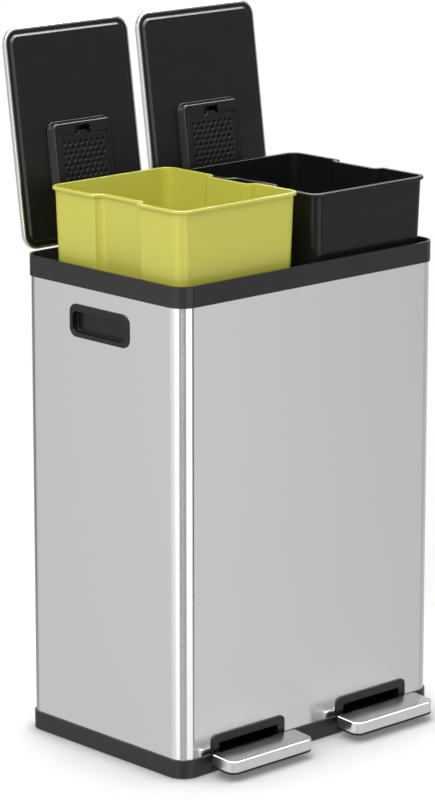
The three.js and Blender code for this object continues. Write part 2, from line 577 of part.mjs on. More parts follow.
/** A pedal with its lever, about the axle and with the lever level. */
function pedal(name, side) {
  const coverTop = TREAD_OVER;
  const coverFoot = coverTop - TREAD_LIP;
  const cover = cut(
    loft([
      { outline: treadOutline(0), z: coverFoot },
      { outline: treadOutline(0), z: coverTop - TREAD_EDGE },
      { outline: treadOutline(-TREAD_EDGE), z: coverTop },
    ]),
    prism(treadOutline(-TREAD_SHEET), coverFoot - 1, coverTop - TREAD_SHEET));
  const coreFoot = coverTop - TREAD_CORE_BELOW;
  const neckFoot = -LEVER_LOW + LEVER_THICK + FIT;
  const core = join(
    prism(treadOutline(TREAD_CORE_PROUD), coreFoot, coverFoot - FIT),
    prism(treadOutline(-TREAD_SHEET - FIT), coreFoot, coverTop - TREAD_SHEET - FIT),
    block(-NECK_WIDTH / 2, NECK_WIDTH / 2, -TREAD_REAR - 5, -NECK_REACH, neckFoot, coverFoot - FIT),
    block(-NECK_WIDTH / 2, NECK_WIDTH / 2, -TREAD_REAR + TREAD_CORE_PROUD, -NECK_REACH, neckFoot, NECK_TOP));
  const half = LEVER_WIDTH / 2;
  const lever = cut(
    join(
      block(-half, half, -LEVER_FRONT, LEVER_REACH - NOSE_RADIUS, -LEVER_LOW, -LEVER_LOW + LEVER_THICK),
      block(-half, half, LEVER_REACH - 3 * NOSE_RADIUS, LEVER_REACH, -LEVER_LOW, 0),
      barX(NOSE_RADIUS, -half, half, LEVER_REACH, 0),
      barX(HUB_RADIUS, -HUB_HALF, HUB_HALF, 0, 0)),
    barX(AXLE_RADIUS + FIT, -HUB_HALF - 1, HUB_HALF + 1, 0, 0));
  const group = new THREE.Group();
  group.position.set(side * PEDAL_X, AXLE_Y, AXLE_Z);
  group.rotation.x = PEDAL_RAD;
  group.add(
    piece(`pedal_cover_${name}`, cover, treadSteel),
    piece(`pedal_core_${name}`, core, blackPlastic),
    piece(`pedal_lever_${name}`, lever, dullSteel));
  return group;
}

const pedalAxle = (name, side) => piece(`pedal_axle_${name}`,
  barX(AXLE_RADIUS, side * PEDAL_X - AXLE_HALF, side * PEDAL_X + AXLE_HALF, AXLE_Y, AXLE_Z), dullSteel);

// ---------------------------------------------------------------- rods, ducts and dampers

function rearDuct(name, side) {
  const x = side * LID_X;
  const half = DUCT_WIDTH / 2;
  const back = HALF_D - SHEET - FIT;
  const top = COLLAR_FOOT - FIT;
  const channel = cut(
    block(x - half, x + half, DUCT_FRONT, back, DUCT_BOTTOM, top),
    block(x - half + DUCT_WALL, x + half - DUCT_WALL, DUCT_FRONT + DUCT_WALL, back + 1,
      DUCT_BOTTOM - 1, top + 1));
  const flanges = [-1, 1].map((end) => {
    const near = x + end * (half - DUCT_WALL / 2);
    const far = x + end * (half + DUCT_FLANGE);
    return block(Math.min(near, far), Math.max(near, far), back - DUCT_WALL, back, DUCT_BOTTOM, top);
  });
  const shelf = block(x + DAMPER_X - DAMPER_RADIUS, x + half - DUCT_WALL / 2, DUCT_FRONT + DUCT_WALL / 2,
    ROD_Y + DAMPER_RADIUS, DAMPER_BOTTOM - DAMPER_SHELF, DAMPER_BOTTOM);
  const holes = ductScrewHeights.map((z) =>
    barY(SCREW_SHANK + FIT, ductScrewX(side), back - 5, back + 5, z));
  return piece(`rear_duct_${name}`, cut(join(channel, ...flanges, shelf), ...holes), innerPlastic);
}

const ductScrews = (name, side) => ductScrewHeights.map((z, i) => {
  const seat = HALF_D + FIT;
  const x = ductScrewX(side);
  const screw = join(
    barY(SCREW_SHANK, x, seat - DUCT_SCREW_LENGTH, seat + 1, z, 12),
    barY(SCREW_HEAD, x, seat, seat + SCREW_HEAD_HEIGHT, z));
  return piece(`duct_screw_${name}_${i ? 'upper' : 'lower'}`, screw, dullSteel);
});

function damperCylinder(name, side) {
  const x = side * LID_X + DAMPER_X;
  const foot = DAMPER_BOTTOM + FIT;
  const body = cut(
    barZ(DAMPER_RADIUS, x, ROD_Y, foot, foot + DAMPER_LENGTH),
    barZ(DAMPER_BORE, x, ROD_Y, foot + DAMPER_RADIUS, foot + DAMPER_LENGTH + 1, 16));
  return piece(`damper_cylinder_${name}`, body, dullSteel);
}

/** The push rod with the shoe under it, the pad on it and the damper's piston clamped to it. */
function rod(name, side) {
  const x = side * LID_X;
  const centred = ([width, depth, height], z) =>
    block(x - width / 2, x + width / 2, ROD_Y - depth / 2, ROD_Y + depth / 2, z, z + height);
  const barBottom = ROD_BOTTOM + ROD_FOOT[2] + FIT;
  const barTop = ROD_TOP - ROD_HEAD[2] - FIT;
  const bar = centred([ROD_WIDTH, ROD_THICK, barTop - barBottom], barBottom);
  const [clampWidth, clampDepth, clampHeight] = DAMPER_CLAMP;
  const clampLeft = x - ROD_WIDTH / 2 - 3;
  const clamp = cut(
    block(clampLeft, clampLeft + clampWidth, ROD_Y - clampDepth / 2, ROD_Y + clampDepth / 2,
      DAMPER_CLAMP_Z, DAMPER_CLAMP_Z + clampHeight),
    centred([ROD_WIDTH + 2 * FIT, ROD_THICK + 2 * FIT, clampHeight + 2], DAMPER_CLAMP_Z - 1));
  const pistonTop = DAMPER_CLAMP_Z + clampHeight - 1;
  const piston = barZ(DAMPER_ROD, x + DAMPER_X, ROD_Y, pistonTop - DAMPER_ROD_LENGTH, pistonTop, 16);
  return [
    piece(`push_rod_${name}`, bar, dullSteel),
    piece(`rod_foot_${name}`, centred(ROD_FOOT, ROD_BOTTOM), innerPlastic),
    piece(`rod_head_${name}`, centred(ROD_HEAD, ROD_TOP - ROD_HEAD[2]), innerPlastic),
    piece(`damper_piston_${name}`, join(clamp, piston), dullSteel),
  ];
}

// ---------------------------------------------------------------- lids

/** The closed lid's outline, inset by a distance, about the lid's middle in X. */
const lidOutline = (inset) => roundedRect(
  LID_WIDTH - 2 * inset, LID_LENGTH - 2 * inset, LID_CORNER - inset);

const BOX_Y = HINGE_Y - BOX_FROM_HINGE - BOX_LENGTH / 2;
const BOX_FACE = RIM_Z - BOX_PROUD;
const DOOR_REAR = HINGE_Y - BOX_FROM_HINGE - DOOR_FROM_BOX_END;
const DOOR_FRONT = DOOR_REAR - DOOR_LENGTH;
const DOOR_Z = BOX_FACE + FIT;

function lidSkin() {
  const outer = loft([
    { outline: lidOutline(0), z: RIM_Z },
    { outline: lidOutline(0), z: LID_TOP - LID_EDGE },
    { outline: lidOutline(LID_EDGE * 0.3), z: LID_TOP - LID_EDGE * 0.3 },
    { outline: lidOutline(LID_EDGE), z: LID_TOP },
  ]);
  const inner = loft([
    { outline: lidOutline(SHEET), z: RIM_Z - 1 },
    { outline: lidOutline(SHEET), z: LID_TOP - SHEET - LID_EDGE * 0.8 },
    { outline: lidOutline(SHEET + LID_EDGE * 0.8), z: LID_TOP - SHEET },
  ]);
  const half = ARM_WIDTH / 2 + SLIDE;
  const rear = LID_LENGTH / 2;
  const notch = block(-half, half, rear - 4, rear + 1, RIM_Z - 1, LID_TOP - SHEET - FIT);
  return cut(outer, inner, notch);
}

function lidLiner() {
  const face = RIM_Z + FIT;
  const back = face + LINER_PLATE;
  const edge = SHEET + FIT;
  const wall = cut(
    prism(lidOutline(edge), face, face + LINER_WALL_TOP),
    prism(lidOutline(edge + LINER_WALL), back, face + LINER_WALL_TOP + 1));
  const panelFace = RIM_Z - PANEL_PROUD;
  const panel = loft([
    { outline: lidOutline(PANEL_INSET + PANEL_SLOPE), z: panelFace },
    { outline: lidOutline(PANEL_INSET), z: face },
    { outline: lidOutline(PANEL_INSET), z: back },
  ]);
  const hollowInset = PANEL_INSET + PANEL_SLOPE + LINER_PLATE;
  const panelHollow = prism(lidOutline(hollowInset), panelFace + LINER_PLATE, back + 1);
  const boxOutline = (inset) => roundedRect(
    BOX_WIDTH - 2 * inset, BOX_LENGTH - 2 * inset, BOX_CORNER - inset, 0, BOX_Y);
  const box = loft([
    { outline: boxOutline(BOX_EDGE), z: BOX_FACE },
    { outline: boxOutline(0), z: BOX_FACE + BOX_EDGE },
    { outline: boxOutline(0), z: back },
  ]);
  const boxHollow = prism(boxOutline(BOX_WALL), DOOR_Z + DOOR_THICK, face);
  const doorway = block(-DOOR_WIDTH / 2 - RUN, DOOR_WIDTH / 2 + RUN,
    DOOR_FRONT - RUN, DOOR_REAR + DOOR_OPEN_ROOM, BOX_FACE - 1, DOOR_Z + DOOR_THICK + 1);
  const notch = block(-NOTCH_WIDTH / 2, NOTCH_WIDTH / 2, DOOR_FRONT - NOTCH_LENGTH, DOOR_FRONT,
    BOX_FACE - 1, DOOR_Z + DOOR_THICK + 1);
  const half = ARM_WIDTH / 2 + SLIDE;
  const armGap = block(-half, half, LID_LENGTH / 2 - 6, LID_LENGTH / 2, back + FIT, LID_TOP);
  return cut(join(cut(join(wall, panel), panelHollow), box), boxHollow, doorway, notch, armGap);
}

function filterCartridge() {
  const room = DOOR_Z + DOOR_THICK + RUN;
  return block(-DOOR_WIDTH / 2 + CARTRIDGE_INSET, DOOR_WIDTH / 2 - CARTRIDGE_INSET,
    DOOR_FRONT + CARTRIDGE_INSET, DOOR_REAR - CARTRIDGE_INSET, room, room + CARTRIDGE_THICK);
}

function filterDoor() {
  const top = DOOR_Z + DOOR_THICK;
  const plate = join(
    block(-DOOR_WIDTH / 2, DOOR_WIDTH / 2, DOOR_FRONT, DOOR_REAR, DOOR_Z, top),
    block(-TAB_WIDTH / 2, TAB_WIDTH / 2, DOOR_FRONT - TAB_LENGTH, DOOR_FRONT + 1, DOOR_Z, top));
  const holes = [];
  for (let row = 0; row < HOLE_ROWS; row += 1) {
    const count = HOLES_PER_ROW - (row % 2);
    for (let i = 0; i < count; i += 1) {
      holes.push(barZ(HOLE_RADIUS, (i - (count - 1) / 2) * HOLE_PITCH,
        DOOR_FRONT + HOLE_FIRST_ROW + row * HOLE_ROW_PITCH, DOOR_Z - 1, top + 1, 6));
    }
  }
  return cut(plate, ...holes);
}

/** The knuckle, the arm under the lid and the crank that the rod pushes, lid closed. */
function lidLever() {
  const armTop = LID_TOP - SHEET - RUN;
  const half = ARM_WIDTH / 2;
  const arm = block(-half, half, HINGE_Y - ARM_REACH, HINGE_Y + 4, armTop - ARM_THICK, armTop);
  const root = block(-half, half, HINGE_Y - 8, HINGE_Y + 4, HINGE_Z, armTop);
  const padY = HINGE_Y - CRANK_OUT;
  const padZ = HINGE_Z - CRANK_DROP;
  const along = new THREE.Vector2(-CRANK_OUT, -CRANK_DROP).normalize();
  const across = new THREE.Vector2(-along.y, along.x).multiplyScalar(CRANK_HALF_THICK);
  const web = [
    new THREE.Vector2(HINGE_Y, HINGE_Z).sub(across), new THREE.Vector2(padY, padZ).sub(across),
    new THREE.Vector2(padY, padZ).add(across), new THREE.Vector2(HINGE_Y, HINGE_Z).add(across)];
  const ordered = THREE.ShapeUtils.isClockWise(web) ? web.reverse() : web;
  const crank = [-1, 1].map((end) => prismX(ordered, end * CRANK_INNER - (end < 0 ? CRANK_CHEEK : 0),
    end * CRANK_INNER + (end < 0 ? 0 : CRANK_CHEEK)));
  const padHalf = CRANK_INNER + CRANK_CHEEK;
  const body = join(arm, root, barX(KNUCKLE, -KNUCKLE_HALF, KNUCKLE_HALF, HINGE_Y, HINGE_Z), ...crank,
    barX(CRANK_PAD, -padHalf, padHalf, padY, padZ));
  return cut(body, barX(HINGE_PIN + FIT, -KNUCKLE_HALF - 1, KNUCKLE_HALF + 1, HINGE_Y, HINGE_Z));
}

/** A lid with all that swings with it, modelled closed and turned open about its hinge. */
function lid(name, side) {
  const group = new THREE.Group();
  const toHinge = [0, -HINGE_Y, -HINGE_Z];
  group.position.set(side * LID_X, HINGE_Y, HINGE_Z);
  group.rotation.x = -LID_RAD;
  group.add(
    piece(`lid_skin_${name}`, lidSkin(), steel, toHinge),
    piece(`lid_liner_${name}`, lidLiner(), blackPlastic, toHinge),
    piece(`lid_lever_${name}`, lidLever(), innerPlastic, toHinge),
    piece(`filter_cartridge_${name}`, filterCartridge(), filterFoam, toHinge),
    piece(`filter_door_${name}`, filterDoor(), blackPlastic, toHinge));
  return group;
}

function hingePin(name, side) {
  const x = side * LID_X;
  const end = KNUCKLE_HALF + SLIDE + FIT + LUG_WIDTH;
  return piece(`hinge_pin_${name}`, barX(HINGE_PIN, x - end, x + end, HINGE_Y, HINGE_Z), dullSteel);
}

// ---------------------------------------------------------------- buckets

/** How far a side wall is drawn in at a place along the bucket: a smooth bend to each end. */
function recessAt(y) {
  const bend = ([outer, inner]) => {
    const share = THREE.MathUtils.clamp((y - outer) / (inner - outer), 0, 1);
    return (1 - Math.cos(Math.PI * share)) / 2;
  };
  return RECESS * Math.min(bend(RECESS_REAR), bend(RECESS_FRONT));
}

/** The bucket's outline from above, inset from the rim's outside by a distance. */
function bucketOutline(inset) {
  const a = BUCKET_WIDTH / 2 - inset;
  const b = BUCKET_LENGTH / 2 - inset;
  const radius = Math.max(BUCKET_CORNER - inset, 4);
  const sampled = (from, to) => Array.from({ length: RECESS_STEPS + 1 }, (_, i) =>
    from + (to - from) * i / RECESS_STEPS);
  const rising = [...sampled(RECESS_FRONT[1], RECESS_FRONT[0]), ...sampled(RECESS_REAR[1], RECESS_REAR[0])];
  const corner = (x, y, start) => new THREE.Path()
    .absarc(x, y, radius, start, start + Math.PI / 2).getPoints(ARC_STEPS);
  return [
    ...corner(a - radius, -b + radius, -Math.PI / 2),
    ...rising.map((y) => new THREE.Vector2(a - recessAt(y), y)),
    ...corner(a - radius, b - radius, 0),
    ...corner(-a + radius, b - radius, Math.PI / 2),
    ...rising.reverse().map((y) => new THREE.Vector2(-a + recessAt(y), y)),
    ...corner(-a + radius, -b + radius, Math.PI),
  ];
}

function bucket(name, side, material) {
  const slope = Math.tan(THREE.MathUtils.degToRad(BUCKET_DRAFT));
  const rimFoot = BUCKET_HEIGHT - RIM_HEIGHT;
  const wallAt = (z) => RIM_OUT + (rimFoot - z) * slope;
  const outer = loft([
    { outline: bucketOutline(wallAt(0) + BUCKET_FOOT_ROUND), z: 0 },
    { outline: bucketOutline(wallAt(BUCKET_FOOT_ROUND)), z: BUCKET_FOOT_ROUND },
    { outline: bucketOutline(wallAt(rimFoot)), z: rimFoot },
  ]);
  const rim = loft([
    { outline: bucketOutline(0), z: rimFoot - 0.01 },
    { outline: bucketOutline(0), z: BUCKET_HEIGHT - RIM_ROUND },
    { outline: bucketOutline(RIM_ROUND), z: BUCKET_HEIGHT },
  ]);
  const insideRound = BUCKET_FLOOR + BUCKET_FOOT_ROUND;
  const inside = loft([
    { outline: bucketOutline(wallAt(BUCKET_FLOOR) + BUCKET_WALL + BUCKET_FOOT_ROUND), z: BUCKET_FLOOR },
    { outline: bucketOutline(wallAt(insideRound) + BUCKET_WALL), z: insideRound },
    { outline: bucketOutline(RIM_OUT + BUCKET_WALL), z: BUCKET_HEIGHT + 1 },
  ]);
  return piece(`bucket_${name}`, cut(join(outer, rim), inside), material,
    [side * BUCKET_X, BUCKET_Y, SEATED + LIFTED[name] - BUCKET_HEIGHT]);
}

// ---------------------------------------------------------------- assembly

const bin = new THREE.Group();
bin.name = 'double_recycling_bin';
bin.add(steelShell(), topCollar(), baseTray(), falseFloor(), ...feet(), ...floorScrews());
for (const [name, side] of SIDES) {
  bin.add(
    handleCup(name, side), bezel(name, side), pedalAxle(name, side), hingePin(name, side),
    rearDuct(name, side), damperCylinder(name, side), ...ductScrews(name, side),
    pedal(name, side), ...rod(name, side), lid(name, side));
}
bin.add(bucket('left', -1, limePlastic), bucket('right', 1, blackPlastic));

export default bin;
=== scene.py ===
"""A double recycling bin in brushed steel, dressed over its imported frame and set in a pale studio.

Each sub-assembly is a class that holds its sizes in millimetres and builds its own meshes, which turn
to metres as they become objects. Only lamps and the grain of the finishes are given in metres. The
origin is on the floor under the middle of the body, +Z is up and the pedals face -Y.
"""

import json
import logging
import math
from collections.abc import Callable, Iterable
from dataclasses import dataclass
from enum import Enum

import bmesh
import bpy
from mathutils import Matrix, Vector

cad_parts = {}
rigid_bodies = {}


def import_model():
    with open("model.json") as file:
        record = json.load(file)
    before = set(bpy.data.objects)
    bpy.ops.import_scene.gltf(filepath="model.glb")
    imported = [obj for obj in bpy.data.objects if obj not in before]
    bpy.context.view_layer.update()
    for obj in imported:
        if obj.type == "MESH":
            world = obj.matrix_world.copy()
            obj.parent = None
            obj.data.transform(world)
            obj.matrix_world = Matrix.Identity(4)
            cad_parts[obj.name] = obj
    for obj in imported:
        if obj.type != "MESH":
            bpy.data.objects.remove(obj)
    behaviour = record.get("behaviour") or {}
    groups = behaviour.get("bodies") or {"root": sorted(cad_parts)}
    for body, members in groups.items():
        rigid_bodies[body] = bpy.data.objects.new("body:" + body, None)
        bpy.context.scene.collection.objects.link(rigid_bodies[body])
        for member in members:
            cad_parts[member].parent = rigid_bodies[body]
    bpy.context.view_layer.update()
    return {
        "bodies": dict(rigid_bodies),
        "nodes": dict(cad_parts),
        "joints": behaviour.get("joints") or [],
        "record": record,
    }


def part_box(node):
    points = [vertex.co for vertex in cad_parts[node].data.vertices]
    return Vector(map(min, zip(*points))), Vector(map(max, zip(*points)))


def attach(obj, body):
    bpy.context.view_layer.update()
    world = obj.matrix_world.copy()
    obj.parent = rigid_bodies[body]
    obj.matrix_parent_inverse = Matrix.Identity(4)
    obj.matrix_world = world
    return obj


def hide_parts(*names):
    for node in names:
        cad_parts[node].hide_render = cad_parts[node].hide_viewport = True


Pair = tuple[float, float]
Triple = tuple[float, float, float]
Socket = bpy.types.NodeSocket
Face = bmesh.types.BMFace
Edge = bmesh.types.BMEdge
Vert = bmesh.types.BMVert

LOG = logging.getLogger("bin")
# A millimetre in metres, and the picture's height in pixels.
MM = 0.001
IMAGE_HEIGHT = 800
# Millimetres within which points are one: in a new form, in a node's copy and along rounded edges.
SAME_POINT = 1e-4
SAME_NODE_POINT = 1e-3
SAME_EDGE_POINT = 0.04
# Edges bent by less than the first angle shade smoothly; faces bent by less than the second are one.
SMOOTH_ANGLE = math.radians(32)
FLAT_ANGLE = math.radians(0.5)
# What most of a noise's values lie between.
NOISE_RANGE = (0.25, 0.75)
# How much more a large face counts than a small one in the shading of a shared corner, from 1 to 100.
LARGE_FACE_WEIGHT = 100


class Side(Enum):
    """The two halves of the bin as seen from the pedals, named as the frame's nodes name them."""

    LEFT = "left"
    RIGHT = "right"


class Grain(Enum):
    """How steel is brushed: the streaks' noise scale along X, Y and Z, and the way across them.

    The way across is a little off its axis, because a tangent along a face's normal has no direction.
    """

    LEVEL = ((6.0, 6.0, 1600.0), (0.05, 0.03, 1.0))
    ALONG_X = ((6.0, 1600.0, 1600.0), (0.03, 1.0, 0.05))

    @property
    def scale(self) -> Triple:
        """The streaks' noise scale along X, Y and Z."""
        return self.value[0]

    @property
    def across(self) -> Triple:
        """The way across the streaks, along which the steel blurs most."""
        return self.value[1]


# ------------------------------------------------------------------ finishes


class NodeSheet:
    """The node tree of one material or world, with short ways to add and join nodes."""

    def __init__(self, owner: bpy.types.ID) -> None:
        """Clears the owner's node tree.

        Args:
            owner: A material or world.
        """
        owner.use_nodes = True
        self.tree = owner.node_tree
        self.tree.nodes.clear()

    def add(self, kind: str, inputs: dict | None = None, **settings: object) -> bpy.types.Node:
        """Adds a node.

        Args:
            kind: The node's type name.
            inputs: Values or output sockets for its inputs, by name or index.
            **settings: Values of the node's own properties.

        Returns:
            The node.
        """
        node = self.tree.nodes.new(kind)
        for key, value in settings.items():
            setattr(node, key, value)
        for key, value in (inputs or {}).items():
            if isinstance(value, Socket):
                self.tree.links.new(value, node.inputs[key])
            else:
                node.inputs[key].default_value = value
        return node

    def object_point(self, scale: Triple = (1, 1, 1)) -> Socket:
        """Object coordinates stretched by a scale."""
        point = self.add("ShaderNodeTexCoord").outputs["Object"]
        return self.add("ShaderNodeMapping", {"Vector": point, "Scale": scale}).outputs["Vector"]

    def noise(self, point: Socket, scale: float, detail: float) -> Socket:
        """Noise from 0 to 1 at a point."""
        inputs = {"Vector": point, "Scale": scale, "Detail": detail}
        return self.add("ShaderNodeTexNoise", inputs).outputs["Fac"]

    def remap(self, value: Socket, source: Pair, target: Pair = (0, 1)) -> Socket:
        """Makes a value run over another range.

        Args:
            value: The value.
            source: The ends of its range, past which it counts as being at that end.
            target: What these ends become.

        Returns:
            The new value.
        """
        inputs = {"Value": value, "From Min": source[0], "From Max": source[1],
                  "To Min": target[0], "To Max": target[1]}
        return self.add("ShaderNodeMapRange", inputs).outputs["Result"]

    def vary(self, noise: Socket, middle: float, swing: float) -> Socket:
        """A value that follows a noise, by up to a swing to either side of the middle."""
        return self.remap(noise, NOISE_RANGE, (middle - swing, middle + swing))

    def maths(self, operation: str, first: Socket | float, second: Socket | float) -> Socket:
        """Two values joined by a mathematical operation."""
        return self.add("ShaderNodeMath", {0: first, 1: second}, operation=operation).outputs[0]

    def mix(self, share: Socket, first: Socket, second: Socket) -> Socket:
        """One colour that passes into another; their sockets are told by index, since names repeat."""
        inputs = {"Factor": share, 6: first, 7: second}
        return self.add("ShaderNodeMix", inputs, data_type="RGBA").outputs[2]

    def tint(self, colour: Triple, value: Socket) -> Socket:
        """A colour multiplied by a value."""
        rgb = self.add("ShaderNodeCombineColor", dict(enumerate(colour))).outputs[0]
        return self.add("ShaderNodeVectorMath", {0: rgb, "Scale": value}, operation="SCALE").outputs[0]

    def bump(self, height: Socket, depth: float) -> Socket:
        """A normal bent by a height map whose depth is in metres."""
        return self.add("ShaderNodeBump", {"Height": height, "Distance": depth}).outputs["Normal"]

    def surface(self, inputs: dict) -> None:
        """Ends the material in a Principled shader with these inputs."""
        shader = self.add("ShaderNodeBsdfPrincipled", inputs)
        self.add("ShaderNodeOutputMaterial", {"Surface": shader.outputs[0]})


@dataclass(frozen=True)
class BrushedSteel:
    """Satin steel with fine streaks, which blurs what it mirrors mostly across them."""

    name: str
    grain: Grain = Grain.LEVEL
    colour: Triple = (0.80, 0.80, 0.80)
    roughness: float = 0.17
    roughness_swing: float = 0.03
    haze: float = 0.01
    haze_scale: float = 7.0
    streak: float = 0.007
    depth: float = 0.000001
    stretch: float = 0.82

    def material(self) -> bpy.types.Material:
        """Builds the material.

        Returns:
            The material.
        """
        made = bpy.data.materials.new(self.name)
        sheet = NodeSheet(made)
        streaks = sheet.noise(sheet.object_point(self.grain.scale), scale=1, detail=3)
        cloud = sheet.noise(sheet.object_point(), self.haze_scale, detail=1)
        streaked = sheet.vary(streaks, self.roughness, self.roughness_swing)
        rough = sheet.maths("ADD", streaked, sheet.vary(cloud, 0, self.haze))
        across = sheet.add("ShaderNodeVectorTransform", {"Vector": self.grain.across},
                           vector_type="VECTOR", convert_from="OBJECT", convert_to="WORLD")
        sheet.surface({
            "Base Color": sheet.tint(self.colour, sheet.vary(streaks, 1, self.streak)),
            "Metallic": 1.0,
            "Roughness": rough,
            "Anisotropic": self.stretch,
            "Tangent": across.outputs["Vector"],
            "Normal": sheet.bump(streaks, self.depth)})
        return made


@dataclass(frozen=True)
class MouldedPlastic:
    """Plastic with fine pores, a faint mottle and a gloss that varies a little."""

    name: str
    colour: Triple
    roughness: float
    specular: float = 0.5
    depth: float = 0.00003
    mottle: float = 0.05
    mottle_scale: float = 22.0
    pore_scale: float = 2600.0
    wear: float = 0.04
    wear_scale: float = 60.0

    def material(self) -> bpy.types.Material:
        """Builds the material.

        Returns:
            The material.
        """
        made = bpy.data.materials.new(self.name)
        sheet = NodeSheet(made)
        point = sheet.object_point()
        pores = sheet.noise(point, self.pore_scale, detail=2)
        clouds = sheet.noise(point, self.mottle_scale, detail=3)
        wear = sheet.noise(point, self.wear_scale, detail=3)
        sheet.surface({
            "Base Color": sheet.tint(self.colour, sheet.vary(clouds, 1, self.mottle)),
            "Roughness": sheet.vary(wear, self.roughness, self.wear),
            "Specular IOR Level": self.specular,
            "Normal": sheet.bump(pores, self.depth)})
        return made


@dataclass(frozen=True)
class Felt:
    """Matted black fibre."""

    name: str
    colour: Triple = (0.012, 0.012, 0.012)
    shade: Pair = (0.5, 1.8)
    roughness: float = 0.95
    depth: float = 0.0004
    fibre_scale: float = 1400.0

    def material(self) -> bpy.types.Material:
        """Builds the material.

        Returns:
            The material.
        """
        made = bpy.data.materials.new(self.name)
        sheet = NodeSheet(made)
        fibre = sheet.noise(sheet.object_point(), self.fibre_scale, detail=4)
        sheet.surface({
            "Base Color": sheet.tint(self.colour, sheet.remap(fibre, NOISE_RANGE, self.shade)),
            "Roughness": self.roughness,
            "Normal": sheet.bump(fibre, self.depth)})
        return made


# The finish that each slot of the record gets.
FINISHES = {
    "steel": BrushedSteel("brushed_steel"),
    "tread_steel": BrushedSteel(
        "tread_steel", Grain.ALONG_X, (0.84, 0.84, 0.84), roughness=0.18, streak=0.02, depth=0.000002,
        stretch=0.3),
    "plated_steel": BrushedSteel(
        "plated_steel", colour=(0.55, 0.56, 0.57), roughness=0.38, streak=0.06, stretch=0.0),
    "grey_plastic": MouldedPlastic(
        "grey_plastic", (0.019, 0.019, 0.0195), roughness=0.3, specular=0.38, depth=0.00001),
    "black_plastic": MouldedPlastic(
        "black_plastic", (0.006, 0.006, 0.006), roughness=0.34, specular=0.42, depth=0.00001),
    "inner_plastic": MouldedPlastic("inner_plastic", (0.012, 0.012, 0.012), roughness=0.6),
    "bucket_black": MouldedPlastic(
        "bucket_black", (0.010, 0.010, 0.010), roughness=0.22, specular=0.27, depth=0.00001, mottle=0.02),
    "lime_plastic": MouldedPlastic(
        "lime_plastic", (0.60, 0.585, 0.09), roughness=0.2, depth=0.000004, mottle=0.006),
    "filter_foam": Felt("filter_felt"),
    "rubber": MouldedPlastic("rubber", (0.012, 0.012, 0.012), roughness=0.8, specular=0.3, depth=0.0001),
}


class Finishes:
    """Every finish of the bin, made once and handed out by its slot in the record."""

    def __init__(self) -> None:
        """Makes the materials."""
        self.by_slot = {slot: finish.material() for slot, finish in FINISHES.items()}

    def dress(self, piece: bpy.types.Object, slot: str) -> None:
        """Gives a piece the finish of a slot all over."""
        piece.data.materials.clear()
        piece.data.materials.append(self.by_slot[slot])


# ------------------------------------------------------------------ mesh tools


def of_kind(kind: type, geom: Iterable) -> list:
    """The elements of one kind among what an operator returned."""
    return [item for item in geom if isinstance(item, kind)]


